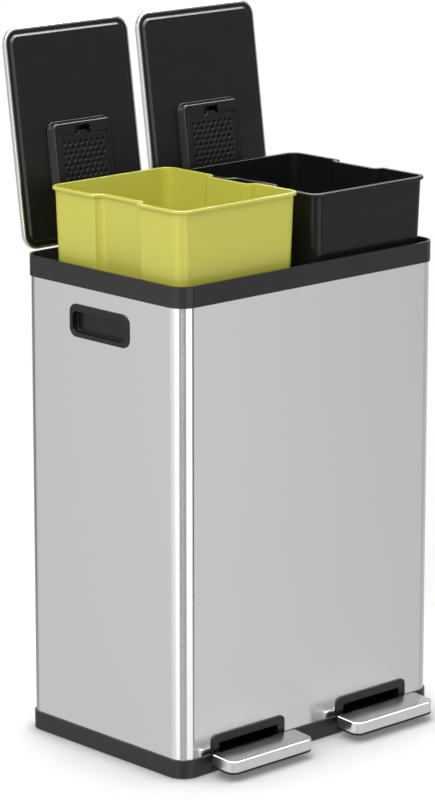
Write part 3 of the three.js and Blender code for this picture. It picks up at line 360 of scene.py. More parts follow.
class Form:
    """A mesh in the making, in millimetres, with the few steps that the bin's pieces share."""

    def __init__(self) -> None:
        """Starts with an empty mesh."""
        self.bm = bmesh.new()

    def plate(self, width: float, depth: float, z: float, radii: Pair, steps: int = 8,
              centre: Pair = (0, 0)) -> Face:
        """Adds a flat face with rounded corners.

        Args:
            width: Its size along X.
            depth: Its size along Y.
            z: Its height.
            radii: The radius of the corners at -Y and of those at +Y.
            steps: Edges along a corner.
            centre: Its middle.

        Returns:
            The face, facing up.
        """
        made = bmesh.ops.create_grid(self.bm, x_segments=1, y_segments=1, size=0.5)["verts"]
        bmesh.ops.scale(self.bm, vec=(width, depth, 1), verts=made)
        bmesh.ops.translate(self.bm, vec=(*centre, z), verts=made)
        face = made[0].link_faces[0]
        for radius, end in zip(radii, (min, max)):
            line = end(v.co.y for v in face.verts)
            corners = [v for v in face.verts if abs(v.co.y - line) < SAME_POINT]
            face = self.round_corners(face, corners, radius, steps)
        return face

    def round_corners(self, face: Face, corners: list[Vert], radius: float, steps: int) -> Face:
        """Rounds some of a lone face's corners, but not all.

        Args:
            face: The face.
            corners: Its corners to round.
            radius: The length that each rounding takes of the edges beside it.
            steps: Edges along a rounding.

        Returns:
            The face that is left.
        """
        kept = next(v for v in face.verts if v not in corners)
        bmesh.ops.bevel(self.bm, geom=corners, offset=radius, segments=steps, profile=0.5,
                        affect="VERTICES", material=-1)
        return kept.link_faces[0]

    def rise(self, face: Face, height: float, scale: Pair = (1, 1), centre: Pair = (0, 0)) -> Face:
        """Extrudes a face along Z and may scale it about a centre.

        A face with others round it moves away from its place. A lone one stays, and a copy moves.

        Args:
            face: The face.
            height: How far it moves, negative for down.
            scale: Its new size along X and Y, as a share.
            centre: What it is scaled about.

        Returns:
            The moved face.
        """
        walled = all(len(edge.link_faces) > 1 for edge in face.edges)
        cap = of_kind(Face, bmesh.ops.extrude_face_region(self.bm, geom=[face])["geom"])[0]
        bmesh.ops.translate(self.bm, vec=(0, 0, height), verts=cap.verts)
        bmesh.ops.scale(self.bm, vec=(*scale, 1), verts=cap.verts,
                        space=Matrix.Translation((-centre[0], -centre[1], 0)))
        if walled:
            self.drop(face)
        return cap

    def step(self, face: Face, inset: float) -> None:
        """Draws a face in by a distance and fills the ring round it."""
        bmesh.ops.inset_region(self.bm, faces=[face], thickness=inset, depth=0, use_even_offset=True,
                               use_boundary=True)

    def drop(self, *faces: Face) -> None:
        """Deletes faces and leaves their edges."""
        bmesh.ops.delete(self.bm, geom=list(faces), context="FACES_ONLY")

    def lowest(self) -> Face:
        """The face whose middle is lowest."""
        return min(self.bm.faces, key=lambda face: face.calc_center_median().z)

    def soften(self, edges: Iterable[Edge], width: float, steps: int) -> None:
        """Rounds edges by a width, with a number of faces along each."""
        bmesh.ops.bevel(self.bm, geom=list(edges), offset=width, segments=steps, profile=0.5,
                        affect="EDGES", material=-1, clamp_overlap=True)

    def slice(self, point: Triple, normal: Triple) -> None:
        """Adds edges where a plane meets the mesh."""
        geom = self.bm.verts[:] + self.bm.edges[:] + self.bm.faces[:]
        bmesh.ops.bisect_plane(self.bm, geom=geom, plane_co=point, plane_no=normal, dist=SAME_POINT)

    def window(self, low: Triple, high: Triple) -> None:
        """Opens a window in a thin wall: slices at a box's sides and deletes the faces inside it.

        Args:
            low: The box's lowest corner, which may be infinitely far off along an axis.
            high: Its highest corner, likewise.
        """
        for axis in range(3):
            normal = tuple(float(k == axis) for k in range(3))
            for corner in (low, high):
                if math.isfinite(corner[axis]):
                    self.slice(tuple(c if math.isfinite(c) else 0 for c in corner), normal)
        inside = [face for face in self.bm.faces
                  if all(low[k] < face.calc_center_median()[k] < high[k] for k in range(3))]
        bmesh.ops.delete(self.bm, geom=inside, context="FACES")

    def turn(self, degrees: float, pivot: Vector) -> None:
        """Turns the whole form about a line along X through a pivot."""
        bmesh.ops.rotate(self.bm, verts=self.bm.verts, cent=pivot,
                         matrix=Matrix.Rotation(math.radians(degrees), 3, "X"))

    def move(self, x: float, y: float, z: float) -> None:
        """Moves the whole form."""
        bmesh.ops.translate(self.bm, vec=(x, y, z), verts=self.bm.verts)

    def piece(self, name: str, outward: bool = True) -> bpy.types.Object:
        """Ends the form as an object in metres, with smooth faces and sharp creases.

        Args:
            name: The object's name.
            outward: Whether the faces are turned to point outwards.

        Returns:
            The object.
        """
        bmesh.ops.remove_doubles(self.bm, verts=self.bm.verts, dist=SAME_POINT)
        if outward:
            bmesh.ops.recalc_face_normals(self.bm, faces=self.bm.faces)
        bmesh.ops.scale(self.bm, vec=(MM, MM, MM), verts=self.bm.verts)
        for face in self.bm.faces:
            face.smooth = True
        for edge in self.bm.edges:
            edge.smooth = len(edge.link_faces) == 2 and edge.calc_face_angle(0) < SMOOTH_ANGLE
        mesh = bpy.data.meshes.new(name)
        self.bm.to_mesh(mesh)
        self.bm.free()
        made = bpy.data.objects.new(name, mesh)
        bpy.context.scene.collection.objects.link(made)
        return made


def finish_edges(piece: bpy.types.Object, width: float = 0, steps: int = 3, wall: float = 0) -> None:
    """Gives a piece a wall, rounded edges and even shading.

    Args:
        piece: The piece.
        width: The radius of its edges in millimetres, or 0 to leave them.
        steps: Faces along a rounded edge.
        wall: The wall's thickness inwards in millimetres, or 0 for a piece without.
    """
    if wall:
        solid = piece.modifiers.new("wall", "SOLIDIFY")
        solid.thickness = wall * MM
        solid.offset = -1
        solid.use_even_offset = True
    if width:
        bevel = piece.modifiers.new("edges", "BEVEL")
        bevel.width = width * MM
        bevel.segments = steps
        bevel.limit_method = "ANGLE"
        bevel.angle_limit = SMOOTH_ANGLE
        bevel.use_clamp_overlap = True
        weld = piece.modifiers.new("weld", "WELD")
        weld.merge_threshold = SAME_EDGE_POINT * MM
    even = piece.modifiers.new("shading", "WEIGHTED_NORMAL")
    even.keep_sharp = True
    even.weight = LARGE_FACE_WEIGHT


class Workshop:
    """Makes pieces, and gives each its finish, its body and the nodes that it stands for."""

    def __init__(self, frame: dict, finishes: Finishes) -> None:
        """Keeps the frame and the finishes.

        Args:
            finishes: The bin's finishes.
        """
        record = frame["record"]
        self.nodes = frame["nodes"]
        self.finishes = finishes
        self.slots = {part["node"]: part["material_slot"] for part in record["subparts"]}
        self.bodies = {node: body for body, nodes in record["behaviour"]["bodies"].items()
                       for node in nodes}
        self.joints = {joint["name"]: joint for joint in frame["joints"]}

    def span(self, node: str) -> tuple[Vector, Vector]:
        """The lowest and highest corner of a node, in millimetres."""
        low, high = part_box(node)
        return low / MM, high / MM

    def pivot(self, joint: str) -> Vector:
        """A joint's place, in millimetres."""
        return Vector(self.joints[joint]["pos_m"]) / MM

    def joins(self, piece: bpy.types.Object, node: str) -> None:
        """Dresses a piece as a node is and puts it on the node's body.

        Args:
            piece: The piece.
            node: The node that it belongs to.
        """
        slot = self.slots[node]
        self.finishes.dress(piece, slot)
        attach(piece, self.bodies[node])
        LOG.info("%s belongs to %s", piece.name, node)

    def stands_for(self, piece: bpy.types.Object, node: str) -> None:
        """Dresses a piece as a node is and puts it in the node's place."""
        self.joins(piece, node)
        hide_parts(node)

    def refine(self, node: str, width: float, change: Callable[[Form], None] | None = None) -> None:
        """Puts a finer copy in a node's place, with flat faces joined and edges rounded.

        Args:
            node: The node.
            width: The radius of its edges, in millimetres.
            change: What is done to the copy's form before its edges are rounded.
        """
        form = Form()
        form.bm.from_mesh(self.nodes[node].data)
        bmesh.ops.scale(form.bm, vec=(1 / MM, 1 / MM, 1 / MM), verts=form.bm.verts)
        bmesh.ops.remove_doubles(form.bm, verts=form.bm.verts, dist=SAME_NODE_POINT)
        bmesh.ops.dissolve_limit(form.bm, angle_limit=FLAT_ANGLE, verts=form.bm.verts,
                                 edges=form.bm.edges)
        if change:
            change(form)
        made = form.piece(f"{node}_fine", outward=False)
        finish_edges(made, width)
        self.stands_for(made, node)

    def carry_over(self) -> None:
        """Gives every node that still shows its own finish."""
        for name, node in self.nodes.items():
            if not node.hide_render:
                self.finishes.dress(node, self.slots[name])
                LOG.info("%s is carried over", name)


# ------------------------------------------------------------------ sub-assemblies


@dataclass
class Body:
    """The steel shell, the collar and base that hold it, its handles and its pedal slots."""

    corner: float = 22.0
    corner_steps: int = 20
    sheet: float = 0.8
    handle_front: float = -46.5
    handle_rear: float = 55.5
    handle_bottom: float = 550.8
    handle_top: float = 581.8
    slot_half: float = 53.9
    slot_top: float = 40.3
    cut_depth: float = 1.0
    frame_edge: float = 0.5
    cup_edge: float = 0.8
    bezel_edge: float = 0.5
    foot_edge: float = 0.6

    def build(self, shop: Workshop) -> None:
        """Builds the body's pieces.

        Args:
            shop: The workshop, whose frame gives the nodes to refine.
        """
        self.shell(shop)
        for node in ("top_collar", "base_tray"):
            shop.refine(node, self.frame_edge)
        for side in Side:
            shop.refine(f"handle_cup_{side.value}", self.cup_edge)
            shop.refine(f"pedal_bezel_{side.value}", self.bezel_edge)
        for end in ("front", "rear"):
            for side in Side:
                shop.refine(f"foot_{end}_{side.value}", self.foot_edge)

    def shell(self, shop: Workshop) -> None:
        """Builds the steel sheet with its corner bends and its windows.

        Args:
            shop: The workshop, whose frame gives the shell's box and the pedals' places.
        """
        low, high = shop.span("steel_shell")
        form = Form()
        face = form.plate(high.x - low.x, high.y - low.y, low.z, (self.corner, self.corner),
                          self.corner_steps)
        rim = list(face.edges)
        form.drop(face)
        top = of_kind(Vert, bmesh.ops.extrude_edge_only(form.bm, edges=rim)["geom"])
        bmesh.ops.translate(form.bm, vec=(0, 0, high.z - low.z), verts=top)
        for left, right in ((-math.inf, low.x + self.cut_depth), (high.x - self.cut_depth, math.inf)):
            form.window((left, self.handle_front, self.handle_bottom),
                        (right, self.handle_rear, self.handle_top))
        for side in Side:
            middle = shop.pivot(f"pedal_{side.value}_pivot").x
            form.window((middle - self.slot_half, -math.inf, -math.inf),
                        (middle + self.slot_half, low.y + self.cut_depth, self.slot_top))
        made = form.piece("steel_sheet")
        finish_edges(made, wall=self.sheet)
        shop.stands_for(made, "steel_shell")


@dataclass
class Lid:
    """One lid: its steel skin, black liner, filter box and filter door.

    The forms are built closed, where the lid is level, and turned open together.
    """

    side: Side
    length: float = 285.0
    width: float = 210.2
    height: float = 8.0
    corner: float = 20.0
    corner_steps: int = 10
    edge: float = 3.2
    edge_steps: int = 5
    sheet: float = 0.8
    hem: float = 2.6
    hem_round: float = 0.8
    hem_steps: int = 3
    rim_over_hinge: float = 1.6
    front_of_hinge: float = 293.6
    liner_inset: float = 1.1
    liner_wall: float = 2.2
    liner_clearance: float = 0.3
    liner_edge: float = 0.45
    panel_below_hinge: float = 0.9
    sunk: float = 0.3
    box_width: float = 97.4
    box_length: float = 91.3
    box_corner: float = 6.0
    box_from_hinge: float = 74.0
    bead_out: float = 2.6
    bead_height: float = 1.6
    bead_clearance: float = 0.1
    bead_corner_steps: int = 6
    bead_edge: float = 0.9
    bead_edge_steps: int = 3
    flank_out: float = 4.4
    flank_lip: float = 0.5
    flank_height: float = 8.7
    flank_clearance: float = 0.1
    flank_corner_steps: int = 8
    flank_edge: float = 0.3
    flank_edge_steps: int = 2
    door_width: float = 85.2
    door_length: float = 69.7
    door_thick: float = 2.0
    door_corner: float = 4.5
    door_corner_steps: int = 5
    door_edge: float = 0.9
    door_edge_steps: int = 1
    door_rear: float = 79.4
    door_below_rim: float = 11.7
    tab_width: float = 15.0
    tab_length: float = 4.5
    hole_radius: float = 2.4
    hole_sides: int = 14
    hole_pitch: float = 9.56
    hole_row_pitch: float = 7.15
    hole_rows: int = 8
    hole_columns: int = 8
    hole_first_row: float = 10.7

    def build(self, shop: Workshop) -> None:
        """Builds the lid's pieces and turns them open.

        Args:
            shop: The workshop, whose frame gives the hinge and how far the lid opens.
        """
        word = self.side.value
        hinge = shop.pivot(f"lid_{word}_hinge")
        opened = -shop.joints[f"lid_{word}_hinge"]["range_deg"][1]
        skin = self.skin(hinge)
        skin.turn(opened, hinge)
        made = skin.piece(f"lid_skin_{word}_fine")
        finish_edges(made, wall=self.sheet)
        shop.stands_for(made, f"lid_skin_{word}")
        shop.refine(f"lid_liner_{word}", self.liner_edge,
                    lambda form: self.clear_hem(form, hinge, opened))
        for stem, form, edge, steps in (
                ("filter_bead", self.box_bead(hinge), self.bead_edge, self.bead_edge_steps),
                ("filter_flanks", self.box_flanks(hinge), self.flank_edge, self.flank_edge_steps)):
            form.turn(opened, hinge)
            made = form.piece(f"{stem}_{word}")
            finish_edges(made, edge, steps)
            shop.joins(made, f"lid_liner_{word}")
        door = self.door(hinge)
        door.turn(opened, hinge)
        made = door.piece(f"filter_door_{word}_fine")
        finish_edges(made, self.door_edge, self.door_edge_steps)
        shop.stands_for(made, f"filter_door_{word}")

    def middle(self, hinge: Vector) -> Pair:
        """The closed lid's middle along X and Y."""
        return hinge.x, hinge.y - self.front_of_hinge + self.length / 2

    def skin(self, hinge: Vector) -> Form:
        """Builds the steel tray, open below, with its hem turned in.

        Args:
            hinge: The lid's hinge.

        Returns:
            The form.
        """
        form = Form()
        bottom = form.plate(self.width, self.length, hinge.z + self.rim_over_hinge,
                            (self.corner, self.corner), self.corner_steps, self.middle(hinge))
        cap = form.rise(bottom, self.height)
        form.soften(cap.edges, self.edge, self.edge_steps)
        form.soften(form.lowest().edges, self.hem_round, self.hem_steps)
        mouth = form.lowest()
        form.step(mouth, self.hem - self.hem_round)
        form.drop(mouth)
        return form

    def clear_hem(self, form: Form, hinge: Vector, opened: float) -> None:
        """Draws the liner's outer wall in, clear of the skin's hem.

        Args:
            form: The liner's form, open.
            hinge: The lid's hinge.
            opened: The angle by which it is open.
        """
        form.turn(-opened, hinge)
        middle = self.middle(hinge)
        half = (self.width / 2, self.length / 2)
        wall = []
        for vert in form.bm.verts:
            beyond = [abs(vert.co[k] - middle[k]) - half[k] + self.corner for k in (0, 1)]
            round_corner = math.hypot(max(beyond[0], 0), max(beyond[1], 0))
            inside_outline = self.corner - round_corner - min(max(beyond), 0)
            if inside_outline < self.liner_wall:
                wall.append(vert)
        inward = self.hem + self.liner_clearance - self.liner_inset
        bmesh.ops.scale(form.bm, vec=(1 - inward / half[0], 1 - inward / half[1], 1), verts=wall,
                        space=Matrix.Translation((-middle[0], -middle[1], 0)))
        form.turn(opened, hinge)

    def box_middle(self, hinge: Vector) -> Pair:
        """The filter box's middle along X and Y."""
        return hinge.x, hinge.y - self.box_from_hinge - self.box_length / 2

    def round_box(self, form: Form, hinge: Vector, out: Pair, steps: int) -> Face:
        """Adds the outline of something that stands round the filter box's foot.

        Args:
            form: The form to add it to.
            hinge: The lid's hinge.
            out: How far it reaches beyond the box along X and along Y.
            steps: Edges along a corner.

        Returns:
            The outline as a face, sunk a little into the liner's panel.
        """
        corner = self.box_corner + out[0]
        foot = hinge.z - self.panel_below_hinge + self.sunk
        return form.plate(self.box_width + 2 * out[0], self.box_length + 2 * out[1], foot,
                          (corner, corner), steps, self.box_middle(hinge))

    def box_bead(self, hinge: Vector) -> Form:
        """Builds the small bead round the foot of the filter box.

        Args:
            hinge: The lid's hinge.

        Returns:
            The form.
        """
        form = Form()
        foot = self.round_box(form, hinge, (self.bead_out, self.bead_out), self.bead_corner_steps)
        top = form.rise(foot, -self.bead_height - self.sunk)
        form.step(top, self.bead_out - self.bead_clearance)
        form.drop(top, foot)
        return form

    def box_flanks(self, hinge: Vector) -> Form:
        """Builds the sloping flanks of the filter box, which close on its straight ones.

        Args:
            hinge: The lid's hinge.

        Returns:
            The form.
        """
        form = Form()
        foot = self.round_box(form, hinge, (self.flank_out, self.flank_clearance),
                              self.flank_corner_steps)
        lip = form.rise(foot, -self.flank_lip - self.sunk)
        narrowed = (self.box_width + 2 * self.flank_clearance) / (self.box_width + 2 * self.flank_out)
        top = form.rise(lip, self.flank_lip - self.flank_height, (narrowed, 1), self.box_middle(hinge))
        form.drop(top, foot)
        return form

    def door(self, hinge: Vector) -> Form:
        """Builds the vented door with its finger tab.

        Args:
            hinge: The lid's hinge.

        Returns:
            The form.
        """
        form = Form()
        z = hinge.z + self.rim_over_hinge - self.door_below_rim
        rear = hinge.y - self.door_rear
        front = rear - self.door_length
        tab_front = front - self.tab_length
        half, tab_half = self.door_width / 2, self.tab_width / 2
        outline = [(half, rear), (-half, rear), (-half, front), (-tab_half, front),
                   (-tab_half, tab_front), (tab_half, tab_front), (tab_half, front), (half, front)]
        points = [form.bm.verts.new((hinge.x + x, y, z)) for x, y in outline]
        corners = [point for point, (x, _) in zip(points, outline) if abs(x) == half]
        face = form.round_corners(form.bm.faces.new(points), corners, self.door_corner,
                                  self.door_corner_steps)
        outer = list(face.edges)
        form.drop(face)
        holes = []
        for row in range(self.hole_rows):
            count = self.hole_columns - row % 2
            for column in range(count):
                place = ((column - (count - 1) / 2) * self.hole_pitch + hinge.x,
                         front + self.hole_first_row + row * self.hole_row_pitch, z)
                ring = bmesh.ops.create_circle(form.bm, segments=self.hole_sides,
                                               radius=self.hole_radius,
                                               matrix=Matrix.Translation(place))["verts"]
                holes += {edge for vert in ring for edge in vert.link_edges}
        flat = bmesh.ops.triangle_fill(form.bm, use_beauty=True, use_dissolve=False,
                                       edges=outer + holes, normal=(0, 0, 1))["geom"]
        top = bmesh.ops.extrude_face_region(form.bm, geom=of_kind(Face, flat),
                                            use_keep_orig=True)["geom"]
        bmesh.ops.translate(form.bm, vec=(0, 0, self.door_thick), verts=of_kind(Vert, top))
        return form


@dataclass
class Bucket:
    """One lift-out bucket with a drawn-in stretch in each side wall."""

    side: Side
    corner: float = 18.0
    corner_steps: int = 8
    rim_out: float = 3.8
    rim_height: float = 4.3
    rim_round: float = 1.3
    rim_steps: int = 4
    wall: float = 2.2
    floor: float = 3.0
    foot: float = 6.0
    draft: float = 1.5
    recess: float = 12.0
    bends: tuple[float, float, float, float] = (-41.5, -39.5, 34.5, 36.5)
    bend_length: float = 5.4
    bend_steps: int = 6
    edge: float = 0.6
    edge_steps: int = 2

    def build(self, shop: Workshop) -> None:
        """Builds the bucket from its rim downwards, outside and inside.

        Args:
            shop: The workshop, whose frame gives the bucket's box.
        """
        node = f"bucket_{self.side.value}"
        low, high = shop.span(node)
        middle = (low + high) / 2
        half_x, half_y = (high.x - low.x) / 2, (high.y - low.y) / 2
        under_rim = high.z - self.rim_height
        drawn = (under_rim - low.z) * math.tan(math.radians(self.draft))
        form = Form()
        top = form.rise(self.outline(form, half_x, half_y, under_rim), self.rim_height)
        under = self.ends(form)[0]
        rim_edges = [*top.edges, *under.edges]
        form.step(under, self.rim_out)
        self.wall_down(form, under, low.z + self.foot - under_rim, drawn, half_y)
        top = self.ends(form)[1]
        form.step(top, self.rim_out + self.wall)
        self.wall_down(form, top, low.z + self.floor + self.foot - high.z, drawn, half_y)
        form.soften(rim_edges, self.rim_round, self.rim_steps)
        form.move(middle.x, middle.y, 0)
        made = form.piece(f"{node}_fine")
        finish_edges(made, self.edge, self.edge_steps)
        shop.stands_for(made, node)

    def ends(self, form: Form) -> tuple[Face, Face]:
        """Finds the two faces that close the form below and above.

        Args:
            form: The form, whose other faces have four sides at most.

        Returns:
            The lower and the upper one.
        """
        wide = (face for face in form.bm.faces if len(face.verts) > 4)
        ordered = sorted(wide, key=lambda face: face.calc_center_median().z)
        return ordered[0], ordered[-1]

    def wall_down(self, form: Form, face: Face, height: float, drawn: float, half_y: float) -> None:
        """Extrudes a face down a sloping wall and then down the foot's chamfer.

        Args:
            form: The form.
            face: The face.
            height: How far the wall goes, negative for down.
            drawn: How far the wall slopes in.
            half_y: Half of the rim's length.
        """
        base = form.rise(face, height)
        self.draw_in(form, base, drawn, half_y)
        self.draw_in(form, form.rise(base, -self.foot), self.foot, half_y)

    def draw_in(self, form: Form, face: Face, amount: float, half_y: float) -> None:
        """Draws a face in on all four sides, so that the walls up to it slope.

        Args:
            form: The form.
            face: The face.
            amount: How far each side moves in.
            half_y: Half of the rim's length, by which the corners are told from the bends.
        """
        for x_side in (-1, 1):
            half = [v for v in face.verts if v.co.x * x_side > 0]
            bmesh.ops.translate(form.bm, vec=(-x_side * amount, 0, 0), verts=half)
        for y_side in (-1, 1):
            end = [v for v in face.verts if v.co.y * y_side > half_y / 2]
            bmesh.ops.translate(form.bm, vec=(0, -y_side * amount, 0), verts=end)

    def outline(self, form: Form, half_x: float, half_y: float, z: float) -> Face:
        """Adds the rim's outline as a flat face.

        Args:
            form: The form to add it to.
            half_x: Half of its width.
            half_y: Half of its length.
            z: Its height.

        Returns:
            The face.
        """
        drawn = half_x - self.recess
        a, b, c, d = self.bends
        right = [(half_x, -half_y), (half_x, a), (drawn, b), (drawn, c), (half_x, d), (half_x, half_y)]
        points = right + [(-x, y) for x, y in reversed(right)]
        verts = [form.bm.verts.new((x, y, z)) for x, y in points]
        corners = [vert for vert, (_, y) in zip(verts, points) if abs(y) == half_y]
        face = form.round_corners(form.bm.faces.new(verts), corners, self.corner, self.corner_steps)
        bends = [v for v in face.verts if any(abs(v.co.y - y) < SAME_POINT for y in self.bends)]
        return form.round_corners(face, bends, self.bend_length, self.bend_steps)


@dataclass
class Pedal:
    """One pedal: a pressed steel tread over a black core."""

    side: Side
    width: float = 146.0
    depth: float = 39.6
    lip: float = 14.4
    front_radius: float = 12.0
    rear_radius: float = 4.0
    over_axle: float = 14.66
    rear_of_axle: float = 128.3
    sheet: float = 1.0
    edge: float = 1.0
    edge_steps: int = 5
    core_edge: float = 0.8

    def build(self, shop: Workshop) -> None:
        """Builds the tread level and tips it by half of its stroke, as the frame has it.

        Args:
            shop: The workshop, whose frame gives the axle and the stroke.
        """
        word = self.side.value
        axle = shop.pivot(f"pedal_{word}_pivot")
        stroke = -shop.joints[f"pedal_{word}_pivot"]["range_deg"][0]
        middle = (axle.x, axle.y - self.rear_of_axle - self.depth / 2)
        foot = axle.z + self.over_axle - self.lip
        form = Form()
        bottom = form.plate(self.width, self.depth, foot, (self.front_radius, self.rear_radius),
                            centre=middle)
        cap = form.rise(bottom, self.lip)
        form.soften(cap.edges, self.edge, self.edge_steps)
        form.drop(form.lowest())
        form.turn(stroke / 2, axle)
        made = form.piece(f"pedal_cover_{word}_fine")
        finish_edges(made, wall=self.sheet)
        shop.stands_for(made, f"pedal_cover_{word}")
        shop.refine(f"pedal_core_{word}", self.core_edge)


# ------------------------------------------------------------------ studio


@dataclass(frozen=True)
class Lamp:
    """A soft square lamp that shines at the bin: its place and width in metres, its power in watts."""

    name: str
    place: Triple
    width: float
    power: float


@dataclass(frozen=True)
class Panel:
    """A bright or dark stretch of the room's wall: where it is, in degrees from +X, and its level."""

    azimuth: float
    level: float


@dataclass(frozen=True)
class Band:
    """A level band of the room's wall.

    Attributes:
        edge: The heights, from -1 to 1, where the wall before it ends and where the band is full.
        panels: Its panels, by rising azimuth from 0.
    """

    edge: Pair
    panels: tuple[Panel, ...]


@dataclass
class Studio:
    """The camera, the floor, the lamps and the white room whose panels the steel mirrors.

    The room's low wall is what the steel shows from the photograph's camera, and the bands above and
    below it are what the lids, the treads and the rims of the plastic show.
    """

    camera_place: Triple = (-3184.04, -3386.35, 1571.01)
    camera_yaw: float = 43.006
    camera_pitch: float = 13.74
    focal_pixels: float = 3646.6
    sensor: float = 24.0
    floor_size: float = 2600.0
    floor_corner: float = 10.0
    floor_seen: float = 0.85
    floor_bounce: float = 0.75
    floor_glow: float = 0.15
    # The floor's colour is darkened by ambient occlusion near the bin, a painted contact shadow: how far
    # it reaches in metres, its samples, and the share of the colour that it always leaves.
    painted_shadow_reach: float = 0.25
    painted_shadow_samples: int = 8
    painted_shadow_limit: float = 0.5
    lamp_target: Triple = (0, 0, 0.4)
    lamps: tuple[Lamp, ...] = (
        Lamp("key_lamp", (-2.4, -1.2, 3.0), 2.2, 62.0),
        Lamp("top_lamp", (0.6, 0.8, 3.4), 2.4, 38.0))
    ambient: float = 0.62
    low_wall: tuple[Panel, ...] = (
        Panel(0, 0.6), Panel(36, 0.65), Panel(44, 1.0), Panel(62, 1.0), Panel(80, 0.3), Panel(106, 0.2),
        Panel(120, 0.5), Panel(134, 0.74), Panel(156, 1.0), Panel(176, 1.15), Panel(184, 1.8),
        Panel(202, 1.8), Panel(208, 0.29), Panel(248, 0.29), Panel(254, 1.6), Panel(291, 1.6),
        Panel(297, 0.0), Panel(305, 0.0), Panel(309, 0.85), Panel(316, 0.62), Panel(326, 0.45))
    bands: tuple[Band, ...] = (
        Band((-0.06, 0.03), (
            Panel(0, 0.9), Panel(40, 0.8), Panel(212, 0.8), Panel(218, 4.5), Panel(234, 4.5),
            Panel(240, 0.8), Panel(265, 0.6), Panel(300, 0.3), Panel(330, 0.3), Panel(345, 0.7))),
        Band((0.05, 0.12), (
            Panel(0, 1.0), Panel(20, 0.95), Panel(80, 0.95), Panel(115, 0.8), Panel(212, 0.8),
            Panel(218, 4.5), Panel(234, 4.5), Panel(240, 0.8), Panel(265, 0.6), Panel(300, 0.3),
            Panel(330, 0.3), Panel(345, 1.2))),
        Band((0.24, 0.30), (Panel(0, 0.5),)),
        Band((0.67, 0.73), (
            Panel(0, 12.0), Panel(12, 18.0), Panel(75, 18.0), Panel(88, 9.0), Panel(108, 6.0),
            Panel(135, 8.0), Panel(300, 8.0))),
        Band((-0.30, -0.36), (Panel(0, 0.64),)))

    def build(self) -> None:
        """Builds the whole studio."""
        self.hang_camera()
        self.lay_floor()
        for lamp in self.lamps:
            self.hang_lamp(lamp)
        self.paint_room()

    def hang_camera(self) -> None:
        """Puts the camera where the photograph was taken from."""
        data = bpy.data.cameras.new("camera")
        data.sensor_fit = "VERTICAL"
        data.sensor_height = self.sensor
        data.lens = self.focal_pixels * self.sensor / IMAGE_HEIGHT
        camera = bpy.data.objects.new("camera", data)
        camera.location = Vector(self.camera_place) * MM
        camera.rotation_euler = (math.radians(90 - self.camera_pitch), 0, -math.radians(self.camera_yaw))
        bpy.context.scene.collection.objects.link(camera)
        bpy.context.scene.camera = camera

    def lay_floor(self) -> None:
        """Lays a wide pale floor that holds the bin's shadow, darkened near the bin by a painted contact
        shadow, and stays out of the steel.
        """
        form = Form()
        form.plate(self.floor_size, self.floor_size, 0, (self.floor_corner, self.floor_corner), 1)
        made = form.piece("studio_floor", outward=False)
        material = bpy.data.materials.new("pale_floor")
        sheet = NodeSheet(material)
        seen = sheet.add("ShaderNodeLightPath").outputs["Is Camera Ray"]
        shade = sheet.remap(seen, (0, 1), (self.floor_bounce, self.floor_seen))
        # Ambient occlusion darkens the floor's colour near the bin and under the pedals: a painted
        # contact shadow, added to the real shadow that the lamps cast.
        painted_shadow_node = sheet.add("ShaderNodeAmbientOcclusion", {"Distance": self.painted_shadow_reach})
        painted_shadow_node.samples = self.painted_shadow_samples
        painted_shadow_kept = sheet.maths("MAXIMUM", painted_shadow_node.outputs["AO"], self.painted_shadow_limit)
        colour = sheet.tint((1, 1, 1), sheet.maths("MULTIPLY", painted_shadow_kept, shade))
        diffuse = sheet.add("ShaderNodeBsdfDiffuse", {"Color": colour})
        glow = sheet.add("ShaderNodeEmission", {"Strength": self.floor_glow})
        both = sheet.add("ShaderNodeAddShader", {0: diffuse.outputs[0], 1: glow.outputs[0]})
        sheet.add("ShaderNodeOutputMaterial", {"Surface": both.outputs[0]})
        made.data.materials.append(material)
        made.visible_glossy = False

    def hang_lamp(self, lamp: Lamp) -> None:
        """Hangs one lamp and turns it to the bin.

        Args:
            lamp: The lamp.
        """
        data = bpy.data.lights.new(lamp.name, "AREA")
        data.shape = "SQUARE"
        data.size = lamp.width
        data.energy = lamp.power
        made = bpy.data.objects.new(lamp.name, data)
        made.location = lamp.place
        towards = Vector(self.lamp_target) - Vector(lamp.place)
        made.rotation_euler = towards.to_track_quat("-Z", "Y").to_euler()
        bpy.context.scene.collection.objects.link(made)

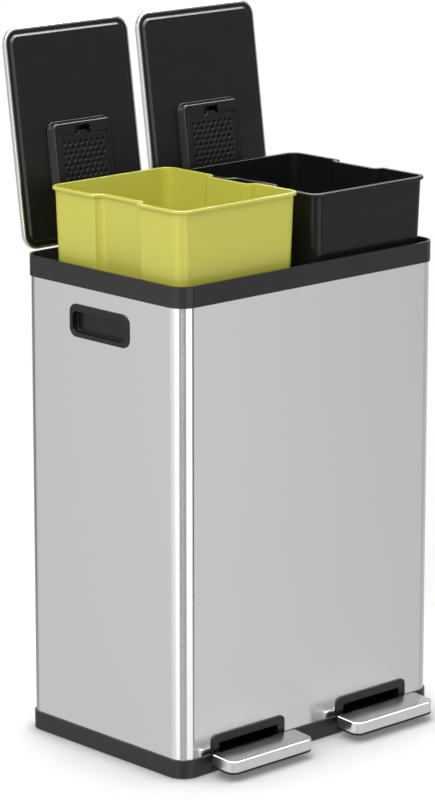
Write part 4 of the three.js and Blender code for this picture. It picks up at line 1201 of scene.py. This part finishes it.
    def paint_room(self) -> None:
        """Makes the room: white to the camera, panels to the steel, and an even light to the rest."""
        world = bpy.data.worlds.new("room")
        bpy.context.scene.world = world
        sheet = NodeSheet(world)
        direction = sheet.add("ShaderNodeTexCoord").outputs["Generated"]
        parts = sheet.add("ShaderNodeSeparateXYZ", {"Vector": direction}).outputs
        angle = sheet.maths("ARCTAN2", parts["Y"], parts["X"])
        turn = sheet.remap(angle, (-math.pi, math.pi), (-0.5, 0.5))
        azimuth = sheet.maths("FLOORED_MODULO", turn, 1.0)
        walls = self.wall(sheet, azimuth, self.low_wall)
        for band in self.bands:
            share = sheet.remap(parts["Z"], band.edge)
            walls = sheet.mix(share, walls, self.wall(sheet, azimuth, band.panels))
        mirrored = sheet.add("ShaderNodeBackground", {"Color": walls})
        even = sheet.add("ShaderNodeBackground", {"Color": (1, 1, 1, 1), "Strength": self.ambient})
        white = sheet.add("ShaderNodeBackground", {"Color": (1, 1, 1, 1)})
        path = sheet.add("ShaderNodeLightPath").outputs
        seen = sheet.maths("MAXIMUM", path["Is Glossy Ray"], path["Is Transmission Ray"])
        lit = sheet.add("ShaderNodeMixShader", {0: seen, 1: even.outputs[0], 2: mirrored.outputs[0]})
        shown = sheet.add("ShaderNodeMixShader",
                          {0: path["Is Camera Ray"], 1: lit.outputs[0], 2: white.outputs[0]})
        sheet.add("ShaderNodeOutputWorld", {"Surface": shown.outputs[0]})

    def wall(self, sheet: NodeSheet, azimuth: Socket, panels: tuple[Panel, ...]) -> Socket:
        """Paints panels all the way round, each passing into the next.

        Args:
            sheet: The world's nodes.
            azimuth: The direction's turn from +X, from 0 to 1.
            panels: The panels, by rising azimuth from 0.

        Returns:
            The wall's colour.
        """
        ramp = sheet.add("ShaderNodeValToRGB", {"Fac": azimuth})
        stops = ramp.color_ramp.elements
        for index, panel in enumerate([*panels, Panel(360, panels[0].level)]):
            place = panel.azimuth / 360
            stop = stops[index] if index < 2 else stops.new(place)
            stop.position = place
            stop.color = (panel.level, panel.level, panel.level, 1)
        return ramp.outputs["Color"]


def main() -> None:
    """Builds the bin and its studio."""
    logging.basicConfig(level=logging.INFO, format="%(message)s")
    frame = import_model()
    bpy.context.scene.view_settings.view_transform = "Standard"
    Studio().build()
    shop = Workshop(frame, Finishes())
    Body().build(shop)
    for side in Side:
        Lid(side).build(shop)
        Bucket(side).build(shop)
        Pedal(side).build(shop)
    shop.carry_over()


if __name__ == "__main__":
    main()
